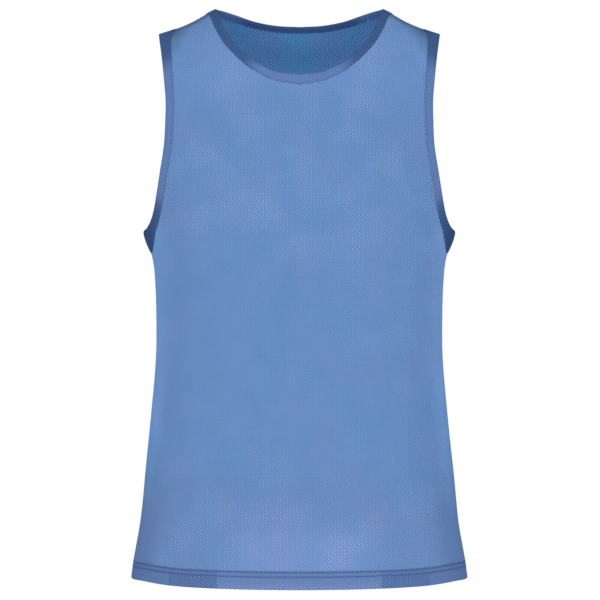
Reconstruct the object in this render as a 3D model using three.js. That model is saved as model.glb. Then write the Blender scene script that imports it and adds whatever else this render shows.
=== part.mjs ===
// A mesh training bib: a front and a back panel of net, bound at the neck and armholes with knit tape.
// It stands open, as it does when it is filled out. Millimetres, +Z up, the front faces -Y.
// The origin lies midway between the two points where the neck meets the shoulder seams.
import * as THREE from "three";
import { mergeVertices } from "three/addons/utils/BufferGeometryUtils.js";

// Driving sizes
const CLOTH_WALL = 1.2;
const TAPE_WALL = 1.0;
const SEAM_GAP = 0.3;
const NECK_TAPE_WIDTH = 12;
const ARM_TAPE_WIDTH = 11;
const HEM_FOLD = 20; // height of the turned-up hem
const HEM_STEP = 1.5; // height over which the doubled hem thins to one layer
const UNDERARM_HEIGHT = -267.5;
const HEM_HEIGHT = -682.5; // at the side seams
const FRONT_HEM_DIP = { depth: 5.8, spread: 2 }; // how much lower the hem hangs at the panel's centre
const BACK_HEM_DIP = { depth: 20.5, spread: 6 }; // a higher spread drops sooner after the side seam
const SECTION_SQUARENESS = 2.7; // 2 is an ellipse, more is boxier
const SHOULDER_ROUNDING = 0.52; // how fast the depth closes towards the shoulder seam
const UNDERARM_LIP_START = 58; // degrees round from the centre where the underarm lip begins

// Grid sizes of half a panel
const COLUMNS = 13;
const BODY_ROWS = 14; // from the hem fold to the underarm
const CHEST_ROWS = 6; // from the underarm to the low point of the neck
const NECK_ROWS = 11; // from the low point of the neck to the shoulder
const ARM_ROWS = CHEST_ROWS + NECK_ROWS;
const SMOOTHING_PASSES = 40;
const SMOOTHED_BODY_ROWS = 4; // rows below the underarm that the smoothing also moves
const BISECTIONS = 40;

// Level sections from the hem up: half the width, and the depth of front and back from the side seams
const SECTIONS = [
  { z: -700, halfWidth: 204.5, front: 121, back: 124 },
  { z: -663, halfWidth: 199.5, front: 119, back: 121 },
  { z: -614, halfWidth: 191, front: 115, back: 117 },
  { z: -552, halfWidth: 184.5, front: 110, back: 108 },
  { z: -485, halfWidth: 178, front: 106, back: 101 },
  { z: -418, halfWidth: 172.5, front: 104, back: 99 },
  { z: -363, halfWidth: 172.2, front: 106, back: 102 },
  { z: -323, halfWidth: 173.5, front: 109, back: 109 },
  { z: -267, halfWidth: 175, front: 113, back: 117 },
  { z: -210, halfWidth: 179.5, front: 114, back: 121 },
  { z: -165, halfWidth: 181, front: 114, back: 122 },
  { z: -110, halfWidth: 180, front: 113, back: 121 },
  { z: -60, halfWidth: 178, front: 112, back: 120 },
  { z: 0, halfWidth: 176, front: 112, back: 120 },
];

// How far the cloth stands out at the side, where the armhole meets the side seam
const UNDERARM_LIP = [
  { z: -345, out: 0 },
  { z: -323, out: 0.4 },
  { z: -308, out: 1.7 },
  { z: -295, out: 4.3 },
  { z: -284, out: 8.5 },
  { z: -276, out: 11 },
  { z: -267, out: 12.5 },
  { z: -255, out: 10 },
  { z: -240, out: 6.5 },
  { z: -220, out: 2.8 },
  { z: -195, out: 0.5 },
  { z: -170, out: 0 },
];

// The ridge of the shoulder, from the centre out, and the edges of the openings, seen from the front
const SHOULDER_RIDGE = [
  { x: 0, z: 24 },
  { x: 50, z: 18 },
  { x: 80, z: 9.5 },
  { x: 100, z: 0 },
  { x: 109, z: -4.4 },
  { x: 116, z: -8.4 },
  { x: 127, z: -14.6 },
  { x: 141, z: -21 },
  { x: 158, z: -27 },
  { x: 170, z: -30.8 },
  { x: 190, z: -37 },
];
const FRONT_NECK = [
  { x: 0, z: -84 },
  { x: 26.5, z: -81 },
  { x: 46, z: -73 },
  { x: 58.8, z: -64.5 },
  { x: 71.5, z: -52.5 },
  { x: 82.5, z: -39 },
  { x: 92.5, z: -21 },
  { x: 100, z: 0 },
];
const BACK_NECK = [
  { x: 0, z: -16.2 },
  { x: 27.5, z: -15 },
  { x: 54, z: -11.1 },
  { x: 77, z: -5.2 },
  { x: 100, z: 0 },
];
const FRONT_ARMHOLE = [
  { x: 187.5, z: -267.5 },
  { x: 182.9, z: -264.5 },
  { x: 177.6, z: -256 },
  { x: 173.7, z: -244.4 },
  { x: 170.3, z: -227.8 },
  { x: 165.3, z: -197.5 },
  { x: 161.2, z: -168 },
  { x: 160.1, z: -136.4 },
  { x: 159.9, z: -113.5 },
  { x: 161.5, z: -91.3 },
  { x: 164.6, z: -62.4 },
  { x: 169.5, z: -30.8 },
];
const BACK_ARMHOLE = [
  { x: 187.5, z: -267.5 },
  { x: 182.4, z: -263.5 },
  { x: 176.6, z: -252 },
  { x: 172.4, z: -236 },
  { x: 168.4, z: -214 },
  { x: 164, z: -184 },
  { x: 161.4, z: -152 },
  { x: 161, z: -118 },
  { x: 163.2, z: -82 },
  { x: 166.4, z: -54 },
  { x: 169.5, z: -30.8 },
];

// Soft folds of each panel. around is degrees from the centre to the side, lean is how many degrees the
// fold drifts outwards over its length, and a negative rise is a trough.
const FRONT_FOLDS = [
  { side: -1, around: 62, z: -520, length: 190, width: 9, lean: -6, rise: -3.2 },
  { side: -1, around: 70, z: -560, length: 170, width: 8, lean: 4, rise: 2.4 },
  { side: 1, around: 60, z: -535, length: 200, width: 10, lean: -5, rise: -3.0 },
  { side: 1, around: 71, z: -575, length: 150, width: 8, lean: 3, rise: 2.6 },
  { side: -1, around: 44, z: -140, length: 120, width: 11, lean: 14, rise: -2.6 },
  { side: 1, around: 46, z: -150, length: 130, width: 11, lean: 12, rise: -2.2 },
  { side: 1, around: 24, z: -600, length: 140, width: 9, lean: 3, rise: -1.8 },
  { side: -1, around: 30, z: -610, length: 130, width: 9, lean: -3, rise: 1.6 },
];
const BACK_FOLDS = [
  { side: -1, around: 30, z: -430, length: 240, width: 11, lean: 8, rise: -4.2 },
  { side: 1, around: 34, z: -450, length: 220, width: 11, lean: 6, rise: -3.8 },
  { side: -1, around: 58, z: -500, length: 240, width: 10, lean: -5, rise: 3.2 },
  { side: 1, around: 61, z: -520, length: 220, width: 10, lean: -6, rise: 3.4 },
  { side: -1, around: 48, z: -170, length: 140, width: 12, lean: 14, rise: -2.8 },
  { side: 1, around: 45, z: -180, length: 150, width: 12, lean: 12, rise: -3.0 },
  { side: 1, around: 8, z: -590, length: 170, width: 9, lean: 4, rise: 2.2 },
];

const NET = new THREE.MeshStandardMaterial({ color: 0x6a91c8, roughness: 0.85, metalness: 0 });
const KNIT = new THREE.MeshStandardMaterial({ color: 0x647db6, roughness: 0.8, metalness: 0 });

const QUARTER_TURN = Math.PI / 2;
const ON_LINE = 1e-6; // a place this near a centre line, seam or ridge lies on it
const SEAM_FADE_DEGREES = 16; // how near the side seam a fold dies away
const SHOULDER_FADE_SHARE = 0.35; // and how near the shoulder, as a share of the chest's height
const FOLD_TAPER = 4; // how fast a fold dies away over its length
const BODY_LENGTH = UNDERARM_HEIGHT - HEM_HEIGHT; // from the underarm to the hem

// Reads a column of a table smoothly between its rows, and holds the end rows beyond them.
function readSmoothly(rows, key, column, at) {
  const first = rows[0];
  const last = rows[rows.length - 1];
  if (at <= first[key]) return first[column];
  if (at >= last[key]) return last[column];
  let i = 0;
  while (rows[i + 1][key] < at) i += 1;
  const span = rows[i + 1][key] - rows[i][key];
  const share = (at - rows[i][key]) / span;
  const slope = (k) => {
    const before = rows[Math.max(k - 1, 0)];
    const after = rows[Math.min(k + 1, rows.length - 1)];
    return (after[column] - before[column]) / (after[key] - before[key]);
  };
  const cube = share ** 3;
  const square = share ** 2;
  return (
    (2 * cube - 3 * square + 1) * rows[i][column] +
    (cube - 2 * square + share) * span * slope(i) +
    (3 * square - 2 * cube) * rows[i + 1][column] +
    (cube - square) * span * slope(i + 1)
  );
}

// The shares of the half width and of the depth that a level section has at a turn.
function sectionShares(turn) {
  const sine = Math.sin(turn);
  const cosine = Math.cos(turn);
  const power = SECTION_SQUARENESS;
  const size = (Math.abs(sine) ** power + Math.abs(cosine) ** power) ** (1 / power);
  return { across: sine / size, deep: cosine / size };
}

function smoothStep(value) {
  const held = Math.min(Math.max(value, 0), 1);
  return held * held * (3 - 2 * held);
}

// One face of the bib. A place on it is turn, from 0 at the centre to a quarter turn at the side seam, and
// level, from -1 at the hem through 0 at the underarm to 1 on the shoulder ridge.
class Face {
  constructor({ outward, depth, hemDip, neck, armhole, folds }) {
    this.outward = outward;
    this.depth = depth;
    this.hemDip = hemDip;
    this.neck = neck;
    this.armhole = armhole;
    this.folds = folds;
  }

  nominalHeight(level) {
    if (level > 0) return UNDERARM_HEIGHT * (1 - level);
    return UNDERARM_HEIGHT + level * BODY_LENGTH;
  }

  levelAt(x, z) {
    if (z <= UNDERARM_HEIGHT) return (z - UNDERARM_HEIGHT) / BODY_LENGTH;
    const ridge = readSmoothly(SHOULDER_RIDGE, "x", "z", Math.abs(x));
    return Math.min((z - UNDERARM_HEIGHT) / (ridge - UNDERARM_HEIGHT), 1);
  }

  widthAt(turn, level) {
    const z = this.nominalHeight(level);
    const degrees = (turn * 180) / Math.PI;
    const lip = smoothStep((degrees - UNDERARM_LIP_START) / (90 - UNDERARM_LIP_START));
    const out = readSmoothly(UNDERARM_LIP, "z", "out", z) * lip;
    return readSmoothly(SECTIONS, "z", "halfWidth", z) * sectionShares(turn).across + out;
  }

  hemDropAt(turn) {
    return this.hemDip.depth * (1 - Math.abs(Math.sin(turn)) ** this.hemDip.spread);
  }

  // The turn at which a level section reaches a given distance from the centre.
  turnAt(x, level) {
    let low = 0;
    let high = QUARTER_TURN;
    for (let i = 0; i < BISECTIONS; i += 1) {
      const middle = (low + high) / 2;
      if (this.widthAt(middle, level) < x) low = middle;
      else high = middle;
    }
    return (low + high) / 2;
  }

  // How far the folds lift the cloth. They die away towards the seams and the neck.
  foldAt(side, turn, level) {
    const degrees = (turn * 180) / Math.PI;
    const z = this.nominalHeight(level);
    let rise = 0;
    for (const fold of this.folds) {
      const along = (z - fold.z) / fold.length;
      const across = (degrees * side * fold.side - fold.around - fold.lean * along) / fold.width;
      rise += fold.rise * Math.exp(-across * across) * Math.exp(-FOLD_TAPER * along * along);
    }
    const sideFade = smoothStep((90 - degrees) / SEAM_FADE_DEGREES);
    const topFade = smoothStep((1 - level) / SHOULDER_FADE_SHARE);
    return rise * sideFade * topFade;
  }

  bare(side, turn, level) {
    const x = this.widthAt(turn, level);
    const z =
      level > 0
        ? UNDERARM_HEIGHT + level * (readSmoothly(SHOULDER_RIDGE, "x", "z", x) - UNDERARM_HEIGHT)
        : this.nominalHeight(level) - this.hemDropAt(turn) * level * level;
    const closing = level > 0 ? Math.max(1 - level * level, 0) ** SHOULDER_ROUNDING : 1;
    const depth = readSmoothly(SECTIONS, "z", this.depth, this.nominalHeight(level)) * closing;
    return new THREE.Vector3(side * x, this.outward * depth * sectionShares(turn).deep, z);
  }

  bareNormal(side, turn, level) {
    const step = 0.004;
    const turnLow = Math.max(turn - step, 0);
    const turnHigh = Math.min(turn + step, QUARTER_TURN);
    const levelLow = Math.max(Math.min(level, 1 - step) - step, -1);
    const levelHigh = levelLow + 2 * step;
    const middle = (levelLow + levelHigh) / 2;
    const across = this.bare(side, turnHigh, middle).sub(this.bare(side, turnLow, middle));
    const up = this.bare(side, turn, levelHigh).sub(this.bare(side, turn, levelLow));
    const normal = across.cross(up).multiplyScalar(-side * this.outward);
    if (level > 1 - ON_LINE || turn > QUARTER_TURN - ON_LINE) normal.y = 0;
    if (turn < ON_LINE) normal.x = 0;
    return normal.normalize();
  }

  // The outer surface of the cloth.
  surface(side, turn, level) {
    const lift = this.foldAt(side, turn, level);
    return this.bare(side, turn, level).addScaledVector(this.bareNormal(side, turn, level), lift);
  }

  // The place reached by walking a distance into the panel from an opening's edge, square to that edge.
  inwardFrom(place, along, distance) {
    const step = 0.002;
    const here = this.bare(1, place.turn, place.level);
    const back = place.level > 1 - step ? -step : step;
    const turned = this.bare(1, place.turn - step, place.level).sub(here).divideScalar(-step);
    const raised = this.bare(1, place.turn, place.level + back).sub(here).divideScalar(back);
    const normal = this.bareNormal(1, place.turn, place.level);
    const way = normal.clone().cross(along).normalize().multiplyScalar(distance);
    const tt = turned.dot(turned);
    const tr = turned.dot(raised);
    const rr = raised.dot(raised);
    const wt = way.dot(turned);
    const wr = way.dot(raised);
    const share = tt * rr - tr * tr;
    return {
      turn: place.turn + (wt * rr - wr * tr) / share,
      level: place.level + (wr * tt - wt * tr) / share,
    };
  }
}

// Evenly spaced places along the edge of an opening, given as seen from the front.
function placesAlong(face, outline, count) {
  const curve = new THREE.CatmullRomCurve3(
    outline.map(({ x, z }) => {
      const level = face.levelAt(x, z);
      return face.bare(1, face.turnAt(x, level), level);
    }),
    false,
    "centripetal",
  );
  return curve.getSpacedPoints(count).map((point) => {
    const level = face.levelAt(point.x, point.z);
    return { turn: face.turnAt(point.x, level), level };
  });
}

// The three lines that an opening's binding follows: its fold, the panel's cut edge just inside the fold,
// and the tape's own sewn edge. sense says on which hand of the line the panel lies.
function bindingLines(face, outline, rows, tapeWidth, sense) {
  const fold = placesAlong(face, outline, rows);
  fold[0].turn = outline[0].x < 1 ? 0 : QUARTER_TURN;
  fold[rows].level = 1;
  const points = fold.map(({ turn, level }) => face.bare(1, turn, level));
  const atDistance = (distance) =>
    fold.map((place, k) => {
      const before = points[Math.max(k - 1, 0)];
      const after = points[Math.min(k + 1, rows)];
      const along = after.clone().sub(before);
      if (k === 0) along.z = 0;
      const moved = face.inwardFrom(place, along.multiplyScalar(sense * face.outward), distance);
      if (k === 0) moved.turn = place.turn;
      if (k === rows) moved.level = 1;
      return moved;
    });
  return {
    fold,
    cut: atDistance(TAPE_WALL + SEAM_GAP),
    channel: atDistance(TAPE_WALL),
    sewn: atDistance(tapeWidth),
  };
}

function mixPlaces(a, b, share) {
  return {
    turn: a.turn + (b.turn - a.turn) * share,
    level: a.level + (b.level - a.level) * share,
  };
}

// The places of half a panel: rows from the hem to the shoulder, columns from the centre to the side.
// Above the underarm and the neck's low point, the rows run between the sewn edges of the two bindings.
function halfGrid(face, neck, arm) {
  const levels = [0, HEM_FOLD, HEM_FOLD + HEM_STEP].map((height) => height / BODY_LENGTH - 1);
  const armStart = arm.sewn[0].level;
  for (let k = 1; k <= BODY_ROWS; k += 1) {
    levels.push(levels[2] + ((armStart - levels[2]) * k) / BODY_ROWS);
  }
  const rows = levels.map((level) => {
    const row = [];
    for (let c = 0; c <= COLUMNS; c += 1) row.push({ turn: (QUARTER_TURN * c) / COLUMNS, level });
    return row;
  });
  const firstFree = rows.length;
  const neckStart = neck.sewn[0].level;
  for (let k = 1; k <= ARM_ROWS; k += 1) {
    const left =
      k <= CHEST_ROWS
        ? { turn: 0, level: armStart + ((neckStart - armStart) * k) / CHEST_ROWS }
        : neck.sewn[k - CHEST_ROWS];
    const row = [];
    for (let c = 0; c <= COLUMNS; c += 1) row.push(mixPlaces(left, arm.sewn[k], c / COLUMNS));
    rows.push(row);
  }
  for (let pass = 0; pass < SMOOTHING_PASSES; pass += 1) {
    for (let r = firstFree - SMOOTHED_BODY_ROWS; r < rows.length - 1; r += 1) {
      for (let c = 1; c < COLUMNS; c += 1) {
        const around = [rows[r - 1][c], rows[r + 1][c], rows[r][c - 1], rows[r][c + 1]];
        rows[r][c] = {
          turn: around.reduce((sum, place) => sum + place.turn, 0) / 4,
          level: around.reduce((sum, place) => sum + place.level, 0) / 4,
        };
      }
    }
  }
  return { rows, underarmRow: firstFree - 1 };
}

// A pair of points, one on each side of the cloth.
function clothPoint(face, side, place, wall) {
  const outer = face.surface(side, place.turn, place.level);
  const normal = face.bareNormal(side, place.turn, place.level);
  if (place.turn < ON_LINE) outer.x = 0;
  if (place.turn > QUARTER_TURN - ON_LINE || place.level > 1 - ON_LINE) {
    outer.y = (face.outward * SEAM_GAP) / 2;
  }
  return { outer, inner: outer.clone().addScaledVector(normal, -wall) };
}

// A closed wall from a net of four-sided cells whose corners are pairs of points.
function closedWall(cells) {
  const edges = new Set();
  const ids = new Map();
  const idOf = (corner) => {
    if (!ids.has(corner)) ids.set(corner, ids.size);
    return ids.get(corner);
  };
  const triangles = [];
  for (const cell of cells) {
    const [a, b, c, d] = cell;
    triangles.push(a.outer, b.outer, c.outer, a.outer, c.outer, d.outer);
    triangles.push(a.inner, c.inner, b.inner, a.inner, d.inner, c.inner);
    cell.forEach((corner, k) => edges.add(idOf(corner) + ">" + idOf(cell[(k + 1) % 4])));
  }
  for (const cell of cells) {
    cell.forEach((corner, k) => {
      const next = cell[(k + 1) % 4];
      if (edges.has(idOf(next) + ">" + idOf(corner))) return;
      triangles.push(corner.outer, corner.inner, next.inner, corner.outer, next.inner, next.outer);
    });
  }
  return triangles;
}

function panelWall(face, neck, arm) {
  const { rows, underarmRow } = halfGrid(face, neck, arm);
  const neckRow = underarmRow + CHEST_ROWS;
  const cells = [];
  const centreLine = new Map();
  for (const side of [1, -1]) {
    const corner = (place, wall, name) => {
      if (place.turn > ON_LINE) return clothPoint(face, side, place, wall);
      if (!centreLine.has(name)) centreLine.set(name, clothPoint(face, 1, place, wall));
      return centreLine.get(name);
    };
    const grid = rows.map((row, r) =>
      row.map((place, c) => corner(place, r < 2 ? 2 * CLOTH_WALL : CLOTH_WALL, `row ${r} ${c}`)),
    );
    const neckCut = neck.cut.map((place, k) => corner(place, CLOTH_WALL, `neck ${k}`));
    const armCut = arm.cut.map((place, k) => corner(place, CLOTH_WALL, `arm ${k}`));
    const addCell = (a, b, c, d) => cells.push(side * face.outward < 0 ? [a, b, c, d] : [a, d, c, b]);
    for (let r = 0; r < rows.length - 1; r += 1) {
      for (let c = 0; c < COLUMNS; c += 1) {
        addCell(grid[r][c], grid[r][c + 1], grid[r + 1][c + 1], grid[r + 1][c]);
      }
    }
    for (let k = 0; k < NECK_ROWS; k += 1) {
      addCell(grid[neckRow + k][0], grid[neckRow + k + 1][0], neckCut[k + 1], neckCut[k]);
    }
    for (let k = 0; k < ARM_ROWS; k += 1) {
      const r = underarmRow + k;
      addCell(grid[r][COLUMNS], armCut[k], armCut[k + 1], grid[r + 1][COLUMNS]);
    }
  }
  return closedWall(cells);
}

// The section of a binding tape at one station, round the panel's edge from its outer to its inner leaf.
function tapeSection(face, side, lines, k) {
  const at = (line, off) => {
    const { turn, level } = line[k];
    const point = face.surface(side, turn, level);
    point.addScaledVector(face.bareNormal(side, turn, level), off);
    if (turn < ON_LINE) point.x = 0;
    if (turn > QUARTER_TURN - ON_LINE || level > 1 - ON_LINE) point.y = 0;
    return point;
  };
  const outerNear = SEAM_GAP;
  const outerFar = SEAM_GAP + TAPE_WALL;
  const innerNear = -CLOTH_WALL - SEAM_GAP;
  const innerFar = innerNear - TAPE_WALL;
  const middle = -CLOTH_WALL / 2;
  return [
    at(lines.sewn, outerNear),
    at(lines.sewn, outerFar),
    at(lines.channel, outerFar),
    at(lines.fold, middle + TAPE_WALL / 2),
    at(lines.fold, middle - TAPE_WALL / 2),
    at(lines.channel, innerFar),
    at(lines.sewn, innerFar),
    at(lines.sewn, innerNear),
    at(lines.channel, innerNear),
    at(lines.channel, outerNear),
  ];
}

// The sides of that section that run from the fold to the sewn edge. Their faces are split from corner to
// corner the same way as the panel's cells beside them, so that the gap between them stays even.
const TOWARDS_SEWN_EDGE = [5, 9];

// Half of an opening's binding on one face. flip turns its faces round.
function tapeTriangles(sections, flip) {
  const triangles = [];
  for (let k = 0; k < sections.length - 1; k += 1) {
    const here = sections[k];
    const next = sections[k + 1];
    here.forEach((point, i) => {
      const j = (i + 1) % here.length;
      const loop = flip ? [point, next[i], next[j], here[j]] : [point, here[j], next[j], next[i]];
      if (TOWARDS_SEWN_EDGE.includes(i)) loop.push(loop.shift());
      const [a, b, c, d] = loop;
      triangles.push(a, b, c, a, c, d);
    });
  }
  return triangles;
}

// The tape of one opening on one side of the centre, front and back, which meet in one section at each seam.
function openingTape(openings, opening, side, sense) {
  const [frontSections, backSections] = openings.map((each) =>
    each[opening].fold.map((place, k) => tapeSection(each.face, side, each[opening], k)),
  );
  const last = frontSections.length - 1;
  const shared = opening === "neck" ? [last] : [0, last];
  for (const k of shared) {
    frontSections[k].forEach((point, i) => {
      point.add(backSections[k][i]).divideScalar(2);
      backSections[k][i].copy(point);
    });
  }
  return [...tapeTriangles(frontSections, sense > 0), ...tapeTriangles(backSections, sense < 0)];
}

function namedMesh(name, triangles, material) {
  const loose = new THREE.BufferGeometry().setFromPoints(triangles);
  const geometry = mergeVertices(loose, 1e-3);
  geometry.computeVertexNormals();
  const mesh = new THREE.Mesh(geometry, material.clone());
  mesh.name = name;
  return mesh;
}

const front = new Face({
  outward: -1,
  depth: "front",
  hemDip: FRONT_HEM_DIP,
  neck: FRONT_NECK,
  armhole: FRONT_ARMHOLE,
  folds: FRONT_FOLDS,
});
const back = new Face({
  outward: 1,
  depth: "back",
  hemDip: BACK_HEM_DIP,
  neck: BACK_NECK,
  armhole: BACK_ARMHOLE,
  folds: BACK_FOLDS,
});

const bib = new THREE.Group();
const openings = [front, back].map((face) => ({
  face,
  neck: bindingLines(face, face.neck, NECK_ROWS, NECK_TAPE_WIDTH, 1),
  arm: bindingLines(face, face.armhole, ARM_ROWS, ARM_TAPE_WIDTH, -1),
}));
openings.forEach(({ face, neck, arm }, k) => {
  bib.add(namedMesh(k === 0 ? "front_panel" : "back_panel", panelWall(face, neck, arm), NET));
});

const neckTape = [1, -1].flatMap((side) => openingTape(openings, "neck", side, side));
bib.add(namedMesh("neck_binding", neckTape, KNIT));
bib.add(namedMesh("armhole_binding_left", openingTape(openings, "arm", 1, -1), KNIT));
bib.add(namedMesh("armhole_binding_right", openingTape(openings, "arm", -1, 1), KNIT));

export default bib;
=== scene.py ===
"""The looks of a mesh training bib: blue net panels, knit bindings and their sewing.

Metres, +Z up, the front faces -Y. Tables and cloth sizes are in millimetres, as a pattern maker notes them.
"""

import logging
import math
from dataclasses import dataclass
from enum import Enum

import bmesh
import bpy
import numpy as np
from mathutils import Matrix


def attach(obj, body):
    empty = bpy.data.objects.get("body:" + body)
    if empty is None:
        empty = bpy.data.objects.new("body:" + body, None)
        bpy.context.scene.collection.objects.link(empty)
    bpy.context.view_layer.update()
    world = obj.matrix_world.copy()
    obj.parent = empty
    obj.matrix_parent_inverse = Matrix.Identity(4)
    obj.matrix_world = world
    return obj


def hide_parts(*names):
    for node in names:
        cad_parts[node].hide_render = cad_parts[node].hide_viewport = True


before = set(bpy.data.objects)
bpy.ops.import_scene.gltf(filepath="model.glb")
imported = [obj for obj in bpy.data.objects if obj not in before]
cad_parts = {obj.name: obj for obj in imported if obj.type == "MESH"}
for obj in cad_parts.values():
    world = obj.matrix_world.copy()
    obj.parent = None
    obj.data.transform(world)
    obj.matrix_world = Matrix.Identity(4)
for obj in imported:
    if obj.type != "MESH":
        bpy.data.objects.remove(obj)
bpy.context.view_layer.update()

LOG = logging.getLogger("bib")
MM = 0.001
QUARTER = math.pi / 2
Array = np.ndarray

CLOTH_WALL = 1.2
TAPE_WALL = 1.0
SEAM_GAP = 0.3
SHEET_OFF = -0.15  # where the net lies, from the solid's outer surface
LEAF_GAP = 0.05  # between the net and each leaf of a tape
LEAF_WALL = 0.7
UNDERARM = -267.5
HEM = -682.5
BODY_LENGTH = UNDERARM - HEM
SQUARENESS = 2.7
SHOULDER_ROUNDING = 0.52
LIP_START = 58.0
HEM_CORNER_LIFT = 1.6
HEM_CORNER = (58, 11)  # degrees from the centre where the hem lifts, and over how many
TURN_STEPS = 40  # halvings that find a turn
ON_EDGE = 1e-6  # how near to a seam or to the centre a place counts as on it
FINE_STEPS = 1200  # places along an edge between which the stitches are spaced
# The hem's doubled holes take painted shade between these degrees.
DARK_HEM = (26.4, 44.3)  # degrees from the centre between which the hem's doubled holes show dark

# Level sections from the hem up: height, half the width, depth of the front, depth of the back
SECTIONS = np.array([
    (-700, 204.5, 121, 124), (-663, 199.5, 119, 121), (-614, 191, 115, 117), (-552, 184.5, 110, 108),
    (-485, 178, 106, 101), (-418, 172.5, 104, 99), (-363, 172.2, 106, 102), (-323, 173.5, 109, 109),
    (-267, 175, 113, 117), (-210, 179.5, 114, 121), (-165, 181, 114, 122), (-110, 180, 113, 121),
    (-60, 178, 112, 120), (0, 176, 112, 120),
])

# How far the cloth stands out at the side seam under the arm: height, out
UNDERARM_LIP = np.array([
    (-345, 0), (-323, 0.4), (-308, 1.7), (-295, 4.3), (-284, 8.5), (-276, 11), (-267, 12.5), (-255, 10),
    (-240, 6.5), (-220, 2.8), (-195, 0.5), (-170, 0),
])

# The shoulder ridge and the edges of the openings as seen from the front: from the centre, height
SHOULDER_RIDGE = np.array([
    (0, 24), (50, 18), (80, 9.5), (100, 0), (109, -4.4), (116, -8.4), (127, -14.6), (141, -21),
    (158, -27), (170, -30.8), (190, -37),
])
FRONT_NECK = np.array([
    (0, -85), (26.5, -82), (46, -73.4), (58.8, -64.5), (71.5, -52.5), (82.5, -39), (92.5, -21),
    (100, 0),
])
BACK_NECK = np.array([(0, -16.2), (27.5, -15), (54, -10.7), (77, -4.1), (90, -1), (100, 0)])
# How wide each tape lies along half an opening, from its low end up to the shoulder: share, width
NECK_TAPE = np.array([(0, 12.8), (0.2, 10.6), (0.35, 9.6), (0.8, 9.8), (0.9, 11.4), (1, 14.4)])
NECK_TAPE_BEHIND = np.array([(0, 10.2), (0.5, 10.6), (0.8, 11.2), (0.9, 12.0), (1, 14.4)])
ARM_TAPE = np.array([
    (0, 13.5), (0.04, 15.5), (0.1, 18.6), (0.24, 16.4), (0.42, 12.8), (0.8, 12.8), (1, 12.4),
])
FRONT_ARMHOLE = np.array([
    (187.5, -267.5), (182.9, -264.5), (177.6, -256), (173.7, -244.4), (170.3, -227.8), (165.3, -197.5),
    (161.2, -168), (160.1, -136.4), (159.9, -113.5), (161.5, -91.3), (164.6, -62.4), (169.5, -30.8),
])
BACK_ARMHOLE = np.array([
    (187.5, -267.5), (182.4, -263.5), (176.6, -252), (172.4, -236), (168.4, -214), (164, -184),
    (161.4, -152), (161, -118), (163.2, -82), (166.4, -54), (169.5, -30.8),
])


class Side(Enum):
    """The wearer's side, as the sign of x."""

    LEFT = 1
    RIGHT = -1


class Opening(Enum):
    """The openings that are bound with tape."""

    NECK = "neck"
    ARM = "arm"


def eased(value: Array, start: float, stop: float) -> Array:
    """Eases from 0 where a value is at the start to 1 at the stop, which may be the lower one.

    Args:
        value: the values.
        start: where the share is 0, also beyond it.
        stop: where the share is 1, also beyond it.

    Returns:
        The share at each value.
    """
    share = np.clip((value - start) / (stop - start), 0.0, 1.0)
    return share * share * (3 - 2 * share)


def bell(value: Array, middle: float | Array, width: float) -> Array:
    """A soft bump: 1 at its middle, and about a third at its width from there."""
    return np.exp(-(((value - middle) / width) ** 2))


def read_smoothly(rows: Array, column: int, at: Array) -> Array:
    """Reads a column of a table smoothly between its rows, and holds the end rows beyond them.

    Args:
        rows: the table, whose first column rises.
        column: the column to read.
        at: where to read it, in units of the first column.

    Returns:
        The values there.
    """
    keys, values = rows[:, 0], rows[:, column]
    last = len(keys) - 1
    held = np.clip(at, keys[0], keys[last])
    i = np.clip(np.searchsorted(keys, held, side="right") - 1, 0, last - 1)
    ahead = np.minimum(np.arange(last + 1) + 1, last)
    behind = np.maximum(np.arange(last + 1) - 1, 0)
    slopes = (values[ahead] - values[behind]) / (keys[ahead] - keys[behind])
    span = keys[i + 1] - keys[i]
    share = (held - keys[i]) / span
    cube, square = share**3, share**2
    return (
        (2 * cube - 3 * square + 1) * values[i]
        + (cube - 2 * square + share) * span * slopes[i]
        + (3 * square - 2 * cube) * values[i + 1]
        + (cube - square) * span * slopes[i + 1]
    )


def along_line(points: Array) -> Array:
    """How far each point of a line is from its start."""
    return np.concatenate([[0.0], np.cumsum(np.linalg.norm(np.diff(points, axis=0), axis=1))])


def read_grid(grid: Array, row: Array, column: Array) -> Array:
    """Reads a grid of numbers between its points.

    Args:
        grid: the grid.
        row: where to read it, in rows.
        column: where to read it, in columns.

    Returns:
        The values there.
    """
    r, c = row.astype(int), column.astype(int)
    down, right = row - r, column - c
    low = grid[r, c] * (1 - right) + grid[r, c + 1] * right
    high = grid[r + 1, c] * (1 - right) + grid[r + 1, c + 1] * right
    return low * (1 - down) + high * down


@dataclass(frozen=True)
class Fold:
    """A soft fold of a panel.

    around is degrees from the centre to the side, lean how many degrees it drifts outwards over its length,
    and a negative rise is a trough.
    """

    side: Side
    around: float
    height: float
    length: float
    width: float
    lean: float
    rise: float


L, R = Side.LEFT, Side.RIGHT
FRONT_FOLDS = (
    Fold(R, 62, -520, 190, 9, -6, -3.2),
    Fold(R, 70, -560, 170, 8, 4, 2.4),
    Fold(L, 60, -535, 200, 10, -5, -3.0),
    Fold(L, 71, -575, 150, 8, 3, 2.6),
    Fold(R, 44, -140, 120, 11, 14, -2.6),
    Fold(L, 46, -150, 130, 11, 12, -2.2),
    Fold(L, 24, -600, 140, 9, 3, -1.8),
    Fold(R, 30, -610, 130, 9, -3, 1.6),
)
BACK_FOLDS = (
    Fold(R, 30, -430, 240, 11, 8, -4.2),
    Fold(L, 34, -450, 220, 11, 6, -3.8),
    Fold(R, 58, -500, 240, 10, -5, 3.2),
    Fold(L, 61, -520, 220, 10, -6, 3.4),
    Fold(R, 48, -170, 140, 12, 14, -2.8),
    Fold(L, 45, -180, 150, 12, 12, -3.0),
    Fold(L, 8, -590, 170, 9, 4, 2.2),
)


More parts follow.
